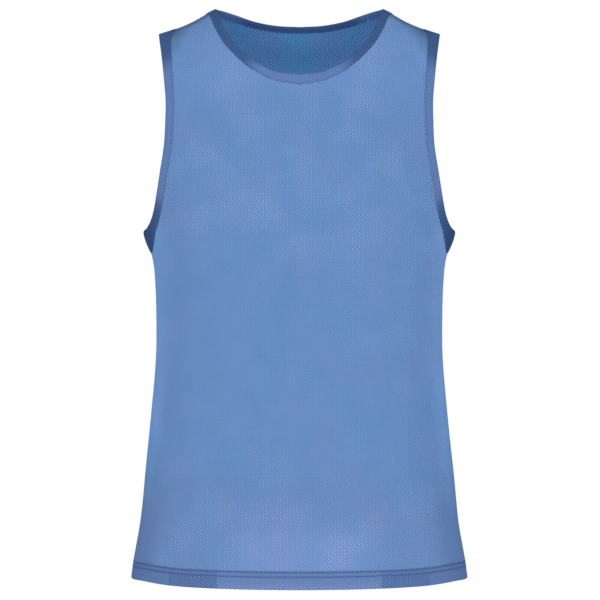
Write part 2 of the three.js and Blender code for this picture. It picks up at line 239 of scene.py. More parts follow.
@dataclass
class Line:
    """Places along an opening's fold line, and how turn and level change for each millimetre inwards."""

    turn: Array
    level: Array
    turn_inwards: Array
    level_inwards: Array

    def inwards(self, distance: float | Array) -> tuple[Array, Array]:
        """The turn and level of the line moved a distance into the panel."""
        turn = np.clip(self.turn + self.turn_inwards * distance, 0.0, QUARTER)
        return turn, np.clip(self.level + self.level_inwards * distance, -1.0, 1.0)


@dataclass(frozen=True)
class Face:
    """One face of the bib.

    A place on it is turn, from 0 at the centre to a quarter turn at the side seam, and level, from -1 at the
    hem through 0 at the underarm to 1 on the shoulder ridge. Lengths are millimetres.
    """

    outward: int
    depth_column: int
    hem_dip: float
    hem_spread: float
    neck: Array
    armhole: Array
    folds: tuple[Fold, ...]

    def nominal_height(self, level: Array) -> Array:
        """The height of a level at the side seam."""
        return np.where(level > 0, UNDERARM * (1 - level), UNDERARM + level * BODY_LENGTH)

    def shares(self, turn: Array) -> tuple[Array, Array]:
        """The shares of the half width and of the depth that a level section has at a turn.

        Args:
            turn: the turn.

        Returns:
            The share of the half width and the share of the depth.
        """
        sine, cosine = np.sin(turn), np.cos(turn)
        size = (np.abs(sine) ** SQUARENESS + np.abs(cosine) ** SQUARENESS) ** (1 / SQUARENESS)
        return sine / size, cosine / size

    def width_at(self, turn: Array, level: Array) -> Array:
        """How far from the centre a place is.

        Args:
            turn: the turn of each place.
            level: its level.

        Returns:
            The distance from the centre, in millimetres.
        """
        height = self.nominal_height(level)
        lip = eased(np.degrees(turn), LIP_START, 90)
        out = read_smoothly(UNDERARM_LIP, 1, height) * lip
        return read_smoothly(SECTIONS, 1, height) * self.shares(turn)[0] + out

    def level_at(self, x: Array, z: Array) -> Array:
        """The level of a place seen from the front.

        Args:
            x: how far from the centre the place is.
            z: its height.

        Returns:
            Its level.
        """
        ridge = read_smoothly(SHOULDER_RIDGE, 1, np.abs(x))
        above = np.minimum((z - UNDERARM) / (ridge - UNDERARM), 1)
        return np.where(z <= UNDERARM, (z - UNDERARM) / BODY_LENGTH, above)

    def turn_at(self, x: Array, level: Array) -> Array:
        """The turn at which a level section is a given distance from the centre.

        Args:
            x: how far from the centre.
            level: the level of the section.

        Returns:
            The turn.
        """
        low, high = np.zeros_like(x), np.full_like(x, QUARTER)
        for _ in range(TURN_STEPS):
            middle = (low + high) / 2
            short = self.width_at(middle, level) < x
            low, high = np.where(short, middle, low), np.where(short, high, middle)
        return (low + high) / 2

    def fold_at(self, side: Side, turn: Array, level: Array) -> Array:
        """How far the folds lift the cloth. They die away towards the seams and the neck.

        Args:
            side: the wearer's side.
            turn: the turn of each place.
            level: its level.

        Returns:
            The lift, in millimetres.
        """
        degrees, height = np.degrees(turn), self.nominal_height(level)
        rise = np.zeros(np.broadcast(turn, level).shape)
        for fold in self.folds:
            along = (height - fold.height) / fold.length
            place = degrees * side.value * fold.side.value - fold.around
            across = bell(place, fold.lean * along, fold.width)
            rise = rise + fold.rise * across * bell(height, fold.height, fold.length / 2)
        return rise * eased(degrees, 90, 74) * eased(level, 1, 0.65)

    def bare(self, side: Side, turn: Array, level: Array) -> Array:
        """The outer surface without its folds.

        Args:
            side: the wearer's side.
            turn: the turn of each place.
            level: its level.

        Returns:
            The points, in millimetres.
        """
        turn, level = np.broadcast_arrays(turn, level)
        across, deep = self.shares(turn)
        x = self.width_at(turn, level)
        height = self.nominal_height(level)
        ridge = read_smoothly(SHOULDER_RIDGE, 1, x)
        drop = self.hem_dip * (1 - np.abs(np.sin(turn)) ** self.hem_spread)
        drop = drop - HEM_CORNER_LIFT * bell(np.degrees(turn), *HEM_CORNER)
        z = np.where(level > 0, UNDERARM + level * (ridge - UNDERARM), height - drop * level * level)
        closing = np.where(level > 0, np.maximum(1 - level * level, 0) ** SHOULDER_ROUNDING, 1.0)
        depth = read_smoothly(SECTIONS, self.depth_column, height) * closing
        return np.stack([side.value * x, self.outward * depth * deep, z], axis=-1)

    def normal(self, side: Side, turn: Array, level: Array) -> Array:
        """The outward direction of the bare surface.

        Args:
            side: the wearer's side.
            turn: the turn of each place.
            level: its level.

        Returns:
            The direction at each place, of length 1.
        """
        turn, level = np.broadcast_arrays(turn, level)
        step = 0.004
        turn_low, turn_high = np.maximum(turn - step, 0), np.minimum(turn + step, QUARTER)
        level_low = np.maximum(np.minimum(level, 1 - step) - step, -1)
        level_high = level_low + 2 * step
        middle = (level_low + level_high) / 2
        across = self.bare(side, turn_high, middle) - self.bare(side, turn_low, middle)
        up = self.bare(side, turn, level_high) - self.bare(side, turn, level_low)
        normal = np.cross(across, up) * (-side.value * self.outward)
        on_seam = (level > 1 - ON_EDGE) | (turn > QUARTER - ON_EDGE)
        normal[..., 1] = np.where(on_seam, 0, normal[..., 1])
        normal[..., 0] = np.where(turn < ON_EDGE, 0, normal[..., 0])
        return normal / np.linalg.norm(normal, axis=-1, keepdims=True)

    def surface(self, side: Side, turn: Array, level: Array, off: float | Array = 0.0) -> Array:
        """A place on the folded surface, moved out along its normal.

        Args:
            side: the wearer's side.
            turn: the turn of each place.
            level: the level of each place.
            off: how far outside the surface, in millimetres.

        Returns:
            The points, in millimetres.
        """
        lift = self.fold_at(side, turn, level) + off
        point = self.bare(side, turn, level) + self.normal(side, turn, level) * lift[..., None]
        turn, level = np.broadcast_arrays(turn, level)
        point[..., 0] = np.where(turn < ON_EDGE, 0, point[..., 0])
        on_seam = (level > 1 - ON_EDGE) | (turn > QUARTER - ON_EDGE)
        point[..., 1] = np.where(on_seam, 0, point[..., 1])
        return point

    def outline(self, opening: Opening) -> Array:
        """The edge of an opening, as seen from the front."""
        return self.neck if opening is Opening.NECK else self.armhole

    def edge_line(self, opening: Opening, count: int) -> Line:
        """The fold line of an opening's binding.

        Args:
            opening: which opening.
            count: how many even steps to take along it.

        Returns:
            The line, from the centre or the side seam up to the shoulder.
        """
        outline = self.outline(opening)
        reach = along_line(outline)
        dense = np.linspace(0, reach[-1], 40 * count)
        x = read_smoothly(np.column_stack([reach, outline[:, 0]]), 1, dense)
        z = read_smoothly(np.column_stack([reach, outline[:, 1]]), 1, dense)
        level = self.level_at(x, z)
        turn = self.turn_at(x, level)
        travelled = along_line(self.bare(Side.LEFT, turn, level))
        stations = np.linspace(0, travelled[-1], count + 1)
        turn, level = np.interp(stations, travelled, turn), np.interp(stations, travelled, level)
        turn[0] = 0.0 if opening is Opening.NECK else QUARTER
        level[-1] = 1.0
        return self.with_inwards(opening, turn, level)

    def with_inwards(self, opening: Opening, turn: Array, level: Array) -> Line:
        """Adds to places along an edge how turn and level change square to it, into the panel.

        Args:
            opening: which opening.
            turn: the turn of each place.
            level: its level.

        Returns:
            The line.
        """
        points = self.bare(Side.LEFT, turn, level)
        along = np.gradient(points, axis=0)
        along[0, 2] = 0.0
        sense = 1 if opening is Opening.NECK else -1
        step = 0.002
        back = np.where(level > 1 - step, -step, step)
        turned = (self.bare(Side.LEFT, turn - step, level) - points) / -step
        raised = (self.bare(Side.LEFT, turn, level + back) - points) / back[:, None]
        way = np.cross(self.normal(Side.LEFT, turn, level), along * sense * self.outward)
        way /= np.linalg.norm(way, axis=1, keepdims=True)
        basis = np.stack([turned, raised], axis=2)
        across = basis.transpose(0, 2, 1)
        inwards = np.linalg.solve(across @ basis, across @ way[:, :, None])[:, :, 0]
        inwards[0, 0] = 0.0
        inwards[-1, 1] = 0.0
        return Line(turn, level, inwards[:, 0], inwards[:, 1])

    def flat_place(self, turn: Array, level: Array) -> tuple[Array, Array]:
        """Where a place lies on the flat cloth: across from the centre, and up from the underarm.

        Args:
            turn: the turn of each place.
            level: its level.

        Returns:
            The distance across and the distance up, in millimetres.
        """
        turns, levels = np.linspace(0, QUARTER, 121), np.linspace(-1, 1, 241)
        points = self.bare(Side.LEFT, turns[None, :], levels[:, None])
        across = np.cumsum(np.linalg.norm(np.diff(points, axis=1), axis=2), axis=1)
        across = np.concatenate([np.zeros((len(levels), 1)), across], axis=1)
        up = np.cumsum(np.linalg.norm(np.diff(points, axis=0), axis=2), axis=0)
        up = np.concatenate([np.zeros((1, len(turns))), up], axis=0)
        up = up - up[len(levels) // 2]
        column = np.clip(turn / QUARTER * (len(turns) - 1), 0, len(turns) - 1.001)
        row = np.clip((level + 1) / 2 * (len(levels) - 1), 0, len(levels) - 1.001)
        return read_grid(across, row, column), read_grid(up, row, column)


FRONT = Face(-1, 2, 5.8, 2, FRONT_NECK, FRONT_ARMHOLE, FRONT_FOLDS)
BACK = Face(1, 3, 20.5, 6, BACK_NECK, BACK_ARMHOLE, BACK_FOLDS)


def grid_faces(ids: Array, flip: bool) -> Array:
    """The four-sided faces of a grid of vertex numbers.

    Args:
        ids: the vertex numbers, row by row.
        flip: whether the faces look the other way.

    Returns:
        Four vertex numbers for each face.
    """
    a, b = ids[:-1, :-1].ravel(), ids[:-1, 1:].ravel()
    c, d = ids[1:, 1:].ravel(), ids[1:, :-1].ravel()
    return np.stack([a, d, c, b] if flip else [a, b, c, d], axis=1)


def make_piece(name: str, points: Array, faces: Array, uv: Array | None = None) -> bpy.types.Object:
    """Makes a smooth mesh object with its flat-cloth coordinates.

    Args:
        name: the piece's name.
        points: its vertices in millimetres.
        faces: rows of vertex numbers.
        uv: for each vertex its place on the flat cloth in millimetres, if it has one.

    Returns:
        The object, linked to the scene, riding on the one body.
    """
    used, index = np.unique(faces, return_inverse=True)
    faces = index.reshape(faces.shape)
    mesh = bpy.data.meshes.new(name)
    mesh.from_pydata((points[used] * MM).tolist(), [], faces.tolist())
    if uv is not None:
        layer = mesh.uv_layers.new(name="cloth")
        layer.data.foreach_set("uv", (uv[used][faces.ravel()] * MM).astype(np.float32).ravel())
    mesh.polygons.foreach_set("use_smooth", [True] * len(mesh.polygons))
    mesh.update()
    piece = bpy.data.objects.new(name, mesh)
    bpy.context.scene.collection.objects.link(piece)
    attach(piece, "root")
    return piece


def joined(parts: list[tuple[Array, Array]]) -> tuple[Array, Array]:
    """Joins meshes into one.

    Args:
        parts: the points and the faces of each.

    Returns:
        The points and the faces of them all.
    """
    starts = np.cumsum([0, *(len(points) for points, _ in parts)])
    faces = [own + start for (_, own), start in zip(parts, starts)]
    return np.concatenate([points for points, _ in parts]), np.concatenate(faces)


def add_values(piece: bpy.types.Object, name: str, values: Array) -> None:
    """Stores a number for each vertex of a piece, for its material to read."""
    attribute = piece.data.attributes.new(name, "FLOAT", "POINT")
    attribute.data.foreach_set("value", values.astype(np.float32))


def thread_bits(starts: Array, ends: Array, outwards: Array, radius: float) -> tuple[Array, Array]:
    """Short rounded lengths of thread, slightly arched off the cloth.

    Args:
        starts: where each begins.
        ends: where each ends.
        outwards: the direction off the cloth at each.
        radius: half the thread's thickness, in millimetres.

    Returns:
        The points and the four-sided faces of them all.
    """
    stops = np.array([0.0, 0.12, 0.35, 0.65, 0.88, 1.0])
    girths = np.array([0.35, 0.85, 1.0, 1.0, 0.85, 0.35])
    arch = np.array([-0.9, -0.25, 0.35, 0.35, -0.25, -0.9])
    turns = np.linspace(0, 2 * math.pi, 6, endpoint=False)
    along = ends - starts
    forward = along / np.linalg.norm(along, axis=1, keepdims=True)
    sideways = np.cross(forward, outwards)
    sideways /= np.linalg.norm(sideways, axis=1, keepdims=True)
    up = np.cross(sideways, forward)
    middle = starts[:, None] + along[:, None] * stops[None, :, None]
    middle = middle + up[:, None] * (arch * radius)[None, :, None]
    ring = sideways[:, None] * np.cos(turns)[None, :, None] + up[:, None] * np.sin(turns)[None, :, None]
    points = middle[:, :, None] + ring[:, None] * (girths * radius)[None, :, None, None]
    count, stations, around = points.shape[:3]
    ids = np.arange(count * stations * around).reshape(count, stations, around)
    wrapped = np.concatenate([ids, ids[:, :, :1]], axis=2)
    a, b = wrapped[:, :-1, :-1], wrapped[:, :-1, 1:]
    c, d = wrapped[:, 1:, 1:], wrapped[:, 1:, :-1]
    sides = np.stack([a, b, c, d], axis=-1).reshape(-1, 4)
    near, far = ids[:, 0], ids[:, -1]
    caps = [near[:, [0, 3, 2, 1]], near[:, [0, 5, 4, 3]], far[:, [0, 1, 2, 3]], far[:, [0, 3, 4, 5]]]
    return points.reshape(-1, 3), np.concatenate([sides, *caps])


@dataclass
class Nodes:
    """A node tree under construction, with short calls for the nodes that the finishes use."""

    tree: bpy.types.NodeTree

    def add(self, kind: str, **settings: object) -> bpy.types.Node:
        """Adds a node and sets its properties.

        Args:
            kind: the node's type.
            settings: its properties.

        Returns:
            The node.
        """
        node = self.tree.nodes.new(kind)
        for key, value in settings.items():
            setattr(node, key, value)
        return node

    def feed(self, socket: bpy.types.NodeSocket, value: object) -> None:
        """Links a socket to another one, or sets its value.

        Args:
            socket: the socket.
            value: another socket or a plain value.
        """
        if isinstance(value, bpy.types.NodeSocket):
            self.tree.links.new(value, socket)
        else:
            socket.default_value = value

    def math(self, operation: str, *values: object) -> bpy.types.NodeSocket:
        """A number worked out from others.

        Args:
            operation: what to do.
            values: sockets or plain numbers.

        Returns:
            The result.
        """
        node = self.add("ShaderNodeMath", operation=operation)
        for socket, value in zip(node.inputs, values):
            self.feed(socket, value)
        return node.outputs[0]

    def blend(self, share: object, first: object, second: object, kind: str = "MIX") -> bpy.types.NodeSocket:
        """A colour between two others.

        Args:
            share: how much of the second.
            first: one colour.
            second: the other colour.
            kind: how they are put together.

        Returns:
            The colour.
        """
        node = self.add("ShaderNodeMix", data_type="RGBA", blend_type=kind)
        for name, value in (("Factor_Float", share), ("A_Color", first), ("B_Color", second)):
            self.feed(next(s for s in node.inputs if s.identifier == name), value)
        return next(s for s in node.outputs if s.identifier == "Result_Color")

    def scaled(self, colour: object, value: object) -> bpy.types.NodeSocket:
        """A colour made darker or lighter by a number.

        Args:
            colour: the colour.
            value: the number.

        Returns:
            The colour.
        """
        grey = self.add("ShaderNodeCombineColor")
        for socket in grey.inputs:
            self.feed(socket, value)
        return self.blend(1.0, colour, grey.outputs[0], "MULTIPLY")

    def attribute(self, name: str) -> bpy.types.NodeSocket:
        """A number that the mesh holds for each of its vertices."""
        return self.add("ShaderNodeAttribute", attribute_name=name).outputs["Fac"]

    def cloth_place(self) -> bpy.types.NodeSocket:
        """The place on the flat cloth."""
        return self.add("ShaderNodeUVMap", uv_map="cloth").outputs[0]

    def ramp(self, value: object, low: object, high: object, to: tuple = (0.0, 1.0)) -> bpy.types.NodeSocket:
        """A number eased from one range to another.

        Args:
            value: the number.
            low: where the ramp starts.
            high: where it ends.
            to: the values at both ends.

        Returns:
            The number.
        """
        node = self.add("ShaderNodeMapRange", interpolation_type="SMOOTHSTEP")
        for socket, each in zip(node.inputs, (value, low, high, *to)):
            self.feed(socket, each)
        return node.outputs[0]

    def noise(self, vector: object, scale: object, detail: float = 2.0) -> bpy.types.NodeSocket:
        """A soft random number over space.

        Args:
            vector: the place.
            scale: how fine it is.
            detail: how many finer layers it has.

        Returns:
            The number.
        """
        node = self.add("ShaderNodeTexNoise")
        self.feed(node.inputs["Vector"], vector)
        self.feed(node.inputs["Scale"], scale)
        node.inputs["Detail"].default_value = detail
        return node.outputs["Fac"]


def new_group(name: str, inputs: dict[str, tuple], outputs: dict[str, str]) -> tuple[Nodes, object, object]:
    """Starts a shader node group.

    Args:
        name: its name.
        inputs: for each input its socket type and its value when nothing is linked.
        outputs: for each output its socket type.

    Returns:
        The nodes, the group's input node and its output node.
    """
    tree = bpy.data.node_groups.new(name, "ShaderNodeTree")
    for label, (kind, value) in inputs.items():
        socket = tree.interface.new_socket(name=label, in_out="INPUT", socket_type=kind)
        socket.default_value = value
    for label, kind in outputs.items():
        tree.interface.new_socket(name=label, in_out="OUTPUT", socket_type=kind)
    nodes = Nodes(tree)
    return nodes, nodes.add("NodeGroupInput"), nodes.add("NodeGroupOutput")


def net_lattice() -> bpy.types.NodeTree:
    """The staggered holes of the net, over the flat cloth, as a mask of yarn and a height.

    Returns:
        The group.
    """
    number = "NodeSocketFloat"
    nodes, given, result = new_group(
        "net_lattice",
        {
            "Column Pitch": (number, 0.00255),
            "Hole Pitch": (number, 0.00338),
            "Hole Width": (number, 0.00115),
            "Hole Height": (number, 0.00135),
            "Softness": (number, 0.3),
        },
        {"Yarn": number, "Height": number},
    )
    place = nodes.cloth_place()
    drift = nodes.add("ShaderNodeTexNoise")
    nodes.feed(drift.inputs["Vector"], place)
    nodes.feed(drift.inputs["Scale"], 45.0)
    moved = nodes.add("ShaderNodeVectorMath", operation="MULTIPLY_ADD")
    nodes.feed(moved.inputs[0], drift.outputs["Color"])
    moved.inputs[1].default_value = (0.0022, 0.0022, 0.0)
    nodes.feed(moved.inputs[2], place)
    split = nodes.add("ShaderNodeSeparateXYZ")
    nodes.feed(split.inputs[0], moved.outputs[0])
    column, pitch = given.outputs["Column Pitch"], given.outputs["Hole Pitch"]
    half_pitch = nodes.math("MULTIPLY", pitch, 0.5)
    distances = []
    for shift_across, shift_up in ((0.0, 0.0), (column, half_pitch)):
        across = nodes.math("WRAP", nodes.math("ADD", split.outputs["X"], shift_across), column,
                            nodes.math("MULTIPLY", column, -1.0))
        up = nodes.math("WRAP", nodes.math("ADD", split.outputs["Y"], shift_up), half_pitch,
                        nodes.math("MULTIPLY", half_pitch, -1.0))
        wide = nodes.math("DIVIDE", across, nodes.math("MULTIPLY", given.outputs["Hole Width"], 0.5))
        high = nodes.math("DIVIDE", up, nodes.math("MULTIPLY", given.outputs["Hole Height"], 0.5))
        squares = nodes.math("ADD", nodes.math("MULTIPLY", wide, wide), nodes.math("MULTIPLY", high, high))
        distances.append(nodes.math("SQRT", squares))
    nearest = nodes.math("MINIMUM", *distances)
    soft = given.outputs["Softness"]
    yarn = nodes.ramp(nearest, nodes.math("SUBTRACT", 1.0, soft), nodes.math("ADD", 1.0, soft))
    nodes.feed(result.inputs["Yarn"], yarn)
    nodes.feed(result.inputs["Height"], nodes.ramp(nearest, 0.8, 2.2))
    return nodes.tree


def yarn_mottle() -> bpy.types.NodeTree:
    """Uneven dye and sheen of a yarn over the flat cloth.

    Returns:
        The group.
    """
    number, colour = "NodeSocketFloat", "NodeSocketColor"
    nodes, given, result = new_group(
        "yarn_mottle",
        {
            "Main Colour": (colour, (0.1, 0.2, 0.5, 1)),
            "Second Colour": (colour, (0.2, 0.2, 0.5, 1)),
            "Fine Scale": (number, 350.0),
            "Broad Scale": (number, 28.0),
            "Depth": (number, 0.1),
            "Roughness": (number, 0.8),
        },
        {"Colour": colour, "Roughness": number},
    )
    place = nodes.cloth_place()
    fine = nodes.noise(place, given.outputs["Fine Scale"])
    broad = nodes.noise(place, given.outputs["Broad Scale"], 3.0)
    tint_scale = nodes.math("MULTIPLY", given.outputs["Broad Scale"], 0.55)
    tint = nodes.ramp(nodes.noise(place, tint_scale), 0.4, 0.66)
    mixed = nodes.blend(tint, given.outputs["Main Colour"], given.outputs["Second Colour"])
    swing = nodes.math("SUBTRACT", nodes.math("ADD", fine, broad), 1.0)
    value = nodes.math("MULTIPLY_ADD", swing, given.outputs["Depth"], 1.0)
    nodes.feed(result.inputs["Colour"], nodes.scaled(mixed, value))
    nodes.feed(result.inputs["Roughness"], nodes.math("MULTIPLY_ADD", fine, 0.15, given.outputs["Roughness"]))
    return nodes.tree


def knit_ribs() -> bpy.types.NodeTree:
    """The fine wales of a close knit, along the flat cloth's first direction, as a height.

    Returns:
        The group.
    """
    number = "NodeSocketFloat"
    nodes, given, result = new_group(
        "knit_ribs",
        {"Rib Pitch": (number, 0.0011), "Loop Pitch": (number, 0.0009)},
        {"Height": number},
    )
    split = nodes.add("ShaderNodeSeparateXYZ")
    nodes.feed(split.inputs[0], nodes.cloth_place())
    turn = 2 * math.pi
    rib = nodes.math("MULTIPLY", nodes.math("DIVIDE", split.outputs["Y"], given.outputs["Rib Pitch"]), turn)
    loop = nodes.math("MULTIPLY", nodes.math("DIVIDE", split.outputs["X"], given.outputs["Loop Pitch"]), turn)
    slant = nodes.math("MULTIPLY", nodes.math("ABSOLUTE", nodes.math("SINE", rib)), 1.6)
    slanted = nodes.math("ADD", loop, slant)
    height = nodes.math("MULTIPLY_ADD", nodes.math("SINE", slanted), 0.35, nodes.math("COSINE", rib))
    nodes.feed(result.inputs["Height"], height)
    return nodes.tree


@dataclass(frozen=True)
class Finish:
    """What every finish has: a name, a roughness and a soft sheen."""

    name: str
    roughness: float
    sheen: float

    def start(self) -> tuple[bpy.types.Material, Nodes, bpy.types.Node]:
        """A new material with its shader.

        Returns:
            The material, its nodes and its shader.
        """
        material = bpy.data.materials.new(self.name)
        material.use_nodes = True
        nodes = Nodes(material.node_tree)
        shader = material.node_tree.nodes["Principled BSDF"]
        shader.inputs["Sheen Weight"].default_value = self.sheen
        shader.inputs["Sheen Roughness"].default_value = 0.4
        shader.inputs["Sheen Tint"].default_value = (0.35, 0.55, 1.0, 1)
        shader.inputs["Specular IOR Level"].default_value = 0.0
        return material, nodes, shader

    def placed(self, nodes: Nodes, name: str, values: dict[str, object]) -> bpy.types.Node:
        """Places a shared group in this finish with its own values.

        Args:
            nodes: this finish's nodes.
            name: the group's name.
            values: a value or socket for each input.

        Returns:
            The group's node.
        """
        node = nodes.add("ShaderNodeGroup")
        node.node_tree = bpy.data.node_groups[name]
        for key, value in values.items():
            nodes.feed(node.inputs[key], value)
        return node

    def bump(self, nodes: Nodes, shader: bpy.types.Node, height: object, distance: float) -> None:
        """Gives the shader a fine relief.

        Args:
            nodes: this finish's nodes.
            shader: its shader.
            height: the relief's height.
            distance: its depth in metres.
        """
        bump = nodes.add("ShaderNodeBump")
        bump.inputs["Strength"].default_value = 0.6
        bump.inputs["Distance"].default_value = distance
        nodes.feed(bump.inputs["Height"], height)
        nodes.feed(shader.inputs["Normal"], bump.outputs[0])


@dataclass(frozen=True)
class NetCloth(Finish):
    """Warp-knit polyester net with small staggered holes that can be seen through."""

    main: tuple
    second: tuple
    # Painted light and shade in the holes: hole and light_hole are painted light shining through, hem_hole is
    # painted shade behind the doubled hem.
    hole: tuple
    hem: tuple
    hem_hole: tuple
    light_hole: tuple
    # The inside face is painted as a darker, shaded copy of the yarn, and its holes with painted light.
    inside: tuple
    inside_hole: tuple
    # through is the colour of the inside's painted glow, emitted where the panel's glow mark says.
    through: tuple
    lilac: tuple
    clear: float
    hole_width: float = 0.00115
    hole_height: float = 0.00135

    def build(self) -> bpy.types.Material:
        """The material.

        Returns:
            The material, which reads the panel's marks.
        """
        material, nodes, shader = self.start()
        mottle = self.placed(
            nodes,
            "yarn_mottle",
            {"Main Colour": self.main, "Second Colour": self.second, "Roughness": self.roughness},
        )
        shown = nodes.attribute("dots")
        size = nodes.math("MAXIMUM", shown, 1.0)
        lattice = self.placed(
            nodes,
            "net_lattice",
            {
                "Hole Width": nodes.math("MULTIPLY", size, self.hole_width),
                "Hole Height": nodes.math("MULTIPLY", size, self.hole_height),
            },
        )
        place = nodes.cloth_place()
        zone = nodes.ramp(nodes.noise(place, 20.0, 1.0), 0.4, 0.72, (0.45, 1.0))
        open_share = nodes.math("SUBTRACT", 1.0, lattice.outputs["Yarn"])
        plain = nodes.math("MINIMUM", shown, 1.0)
        hole = nodes.math("MULTIPLY", open_share, nodes.math("MULTIPLY", plain, zone))
        hem_share = nodes.math("MULTIPLY", open_share, plain)
        band = nodes.attribute("hem_band")
        shade = nodes.attribute("shade")
        inside = nodes.add("ShaderNodeNewGeometry").outputs["Backfacing"]
        dark = nodes.attribute("dark_holes")
        # The outside's holes take painted light, or painted shade where the panel marks them dark.
        single = nodes.blend(hole, mottle.outputs["Colour"], nodes.blend(dark, self.hole, self.hem_hole))
        hem_hole = nodes.blend(dark, self.light_hole, self.hem_hole)
        doubled = nodes.blend(hem_share, nodes.blend(0.75, mottle.outputs["Colour"], self.hem), hem_hole)
        lilac = nodes.attribute("lilac")
        tone = nodes.blend(lilac, (1, 1, 1, 1), self.lilac)
        outer = nodes.blend(1.0, nodes.blend(band, single, doubled), tone, "MULTIPLY")
        # The inside face: painted shade on its yarn and painted light in its holes.
        inner = nodes.blend(open_share, self.inside, self.inside_hole)
        # The panel's shade mark scales the colour: painted shade above 0, painted light below.
        kept = nodes.math("MULTIPLY_ADD", shade, -0.62, 1.0)
        nodes.feed(shader.inputs["Base Color"], nodes.scaled(nodes.blend(inside, outer, inner), kept))
        # A painted glow on the inside, emitted though nothing there is a lamp.
        painted_glow = nodes.attribute("lit_through")
        glow = nodes.blend(nodes.math("MULTIPLY", painted_glow, inside), (0, 0, 0, 1), self.through)
        nodes.feed(shader.inputs["Emission Color"], glow)
        shader.inputs["Emission Strength"].default_value = 1.0
        nodes.feed(shader.inputs["Roughness"], mottle.outputs["Roughness"])
        outside = nodes.math("MULTIPLY_ADD", inside, -0.75, 1.0)
        through = nodes.math("MULTIPLY", nodes.math("MULTIPLY", open_share, outside), self.clear)
        nodes.feed(shader.inputs["Alpha"], nodes.math("SUBTRACT", 1.0, through))
        self.bump(nodes, shader, lattice.outputs["Height"], 0.0003)
        return material


@dataclass(frozen=True)
class KnitTape(Finish):
    """Close knit for the bindings, with painted shade in the faint dimples of its stitches and along the tape
    where the bindings mark it.
    """

    main: tuple
    second: tuple
    # turned is a painted shaded copy of the knit and deep a darker one; the next value darkens the stitch
    # dimples with painted shade.
    turned: tuple
    deep: tuple
    dimple_shade: float

    def build(self) -> bpy.types.Material:
        """The material.

        Returns:
            The material, which reads the tape's painted shade.
        """
        material, nodes, shader = self.start()
        mottle = self.placed(
            nodes,
            "yarn_mottle",
            {
                "Main Colour": self.main,
                "Second Colour": self.second,
                "Fine Scale": 600.0,
                "Roughness": self.roughness,
            },
        )
        lattice = self.placed(
            nodes, "net_lattice", {"Column Pitch": 0.0024, "Hole Pitch": 0.0036, "Softness": 0.5}
        )
        # Painted shade: the knit blends to its shaded copy, past 1 to the deeper one, and darkens in its
        # dimples.
        shade = nodes.attribute("turned_away")
        colour = nodes.blend(shade, mottle.outputs["Colour"], self.turned)
        colour = nodes.blend(nodes.math("SUBTRACT", shade, 1.0), colour, self.deep)
        dimple_shade = nodes.math("MULTIPLY", nodes.math("SUBTRACT", 1.0, lattice.outputs["Yarn"]), self.dimple_shade)
        nodes.feed(shader.inputs["Base Color"], nodes.blend(dimple_shade, colour, (0.02, 0.04, 0.1, 1)))
        nodes.feed(shader.inputs["Roughness"], mottle.outputs["Roughness"])
        ribs = self.placed(nodes, "knit_ribs", {})
        self.bump(nodes, shader, ribs.outputs["Height"], 0.00012)
        return material


@dataclass(frozen=True)
class SewingThread(Finish):
    """Spun polyester thread."""

    main: tuple

    def build(self) -> bpy.types.Material:
        """The material.

        Returns:
            The material.
        """
        material, nodes, shader = self.start()
        place = nodes.add("ShaderNodeTexCoord").outputs["Object"]
        ply = nodes.noise(place, 2600.0, 1.0)
        lighter = tuple(min(1.0, 1.35 * value) for value in self.main[:3]) + (1.0,)
        nodes.feed(shader.inputs["Base Color"], nodes.blend(ply, self.main, lighter))
        nodes.feed(shader.inputs["Roughness"], nodes.math("MULTIPLY_ADD", ply, 0.2, self.roughness))
        self.bump(nodes, shader, ply, 0.0001)
        return material


NET = NetCloth(
    "net_cloth",
    0.72,
    0.03,
    main=(0.112, 0.231, 0.477, 1),
    second=(0.126, 0.229, 0.476, 1),
    # hole and light_hole are painted light in the holes, hem_hole is painted shade in the doubled hem's
    # holes.
    hole=(0.36, 0.50, 0.80, 1),
    hem=(0.106, 0.184, 0.408, 1),
    hem_hole=(0.035, 0.075, 0.20, 1),
    light_hole=(0.52, 0.60, 0.80, 1),
    # inside is a painted shaded copy of the yarn, inside_hole is painted light in its holes.
    inside=(0.088, 0.188, 0.418, 1),
    inside_hole=(0.055, 0.465, 0.730, 1),
    # through is the colour of the inside's painted glow.
    through=(0.024, 0.078, 0.130, 1),
    lilac=(1.14, 1.01, 1.0, 1),
    clear=0.15,
)
KNIT = KnitTape(
    "knit_tape",
    0.75,
    0.04,
    main=(0.126, 0.230, 0.488, 1),
    second=(0.138, 0.230, 0.488, 1),
    # turned and deep are painted shade colours; the dimple value is painted shade in the stitch dimples.
    turned=(0.057, 0.120, 0.280, 1),
    deep=(0.027, 0.065, 0.170, 1),
    dimple_shade=0.6,
)
THREAD = SewingThread("sewing_thread", 0.6, 0.1, (0.06, 0.11, 0.27, 1))
SEAM_THREAD = SewingThread("overlock_thread", 0.6, 0.1, (0.09, 0.16, 0.36, 1))


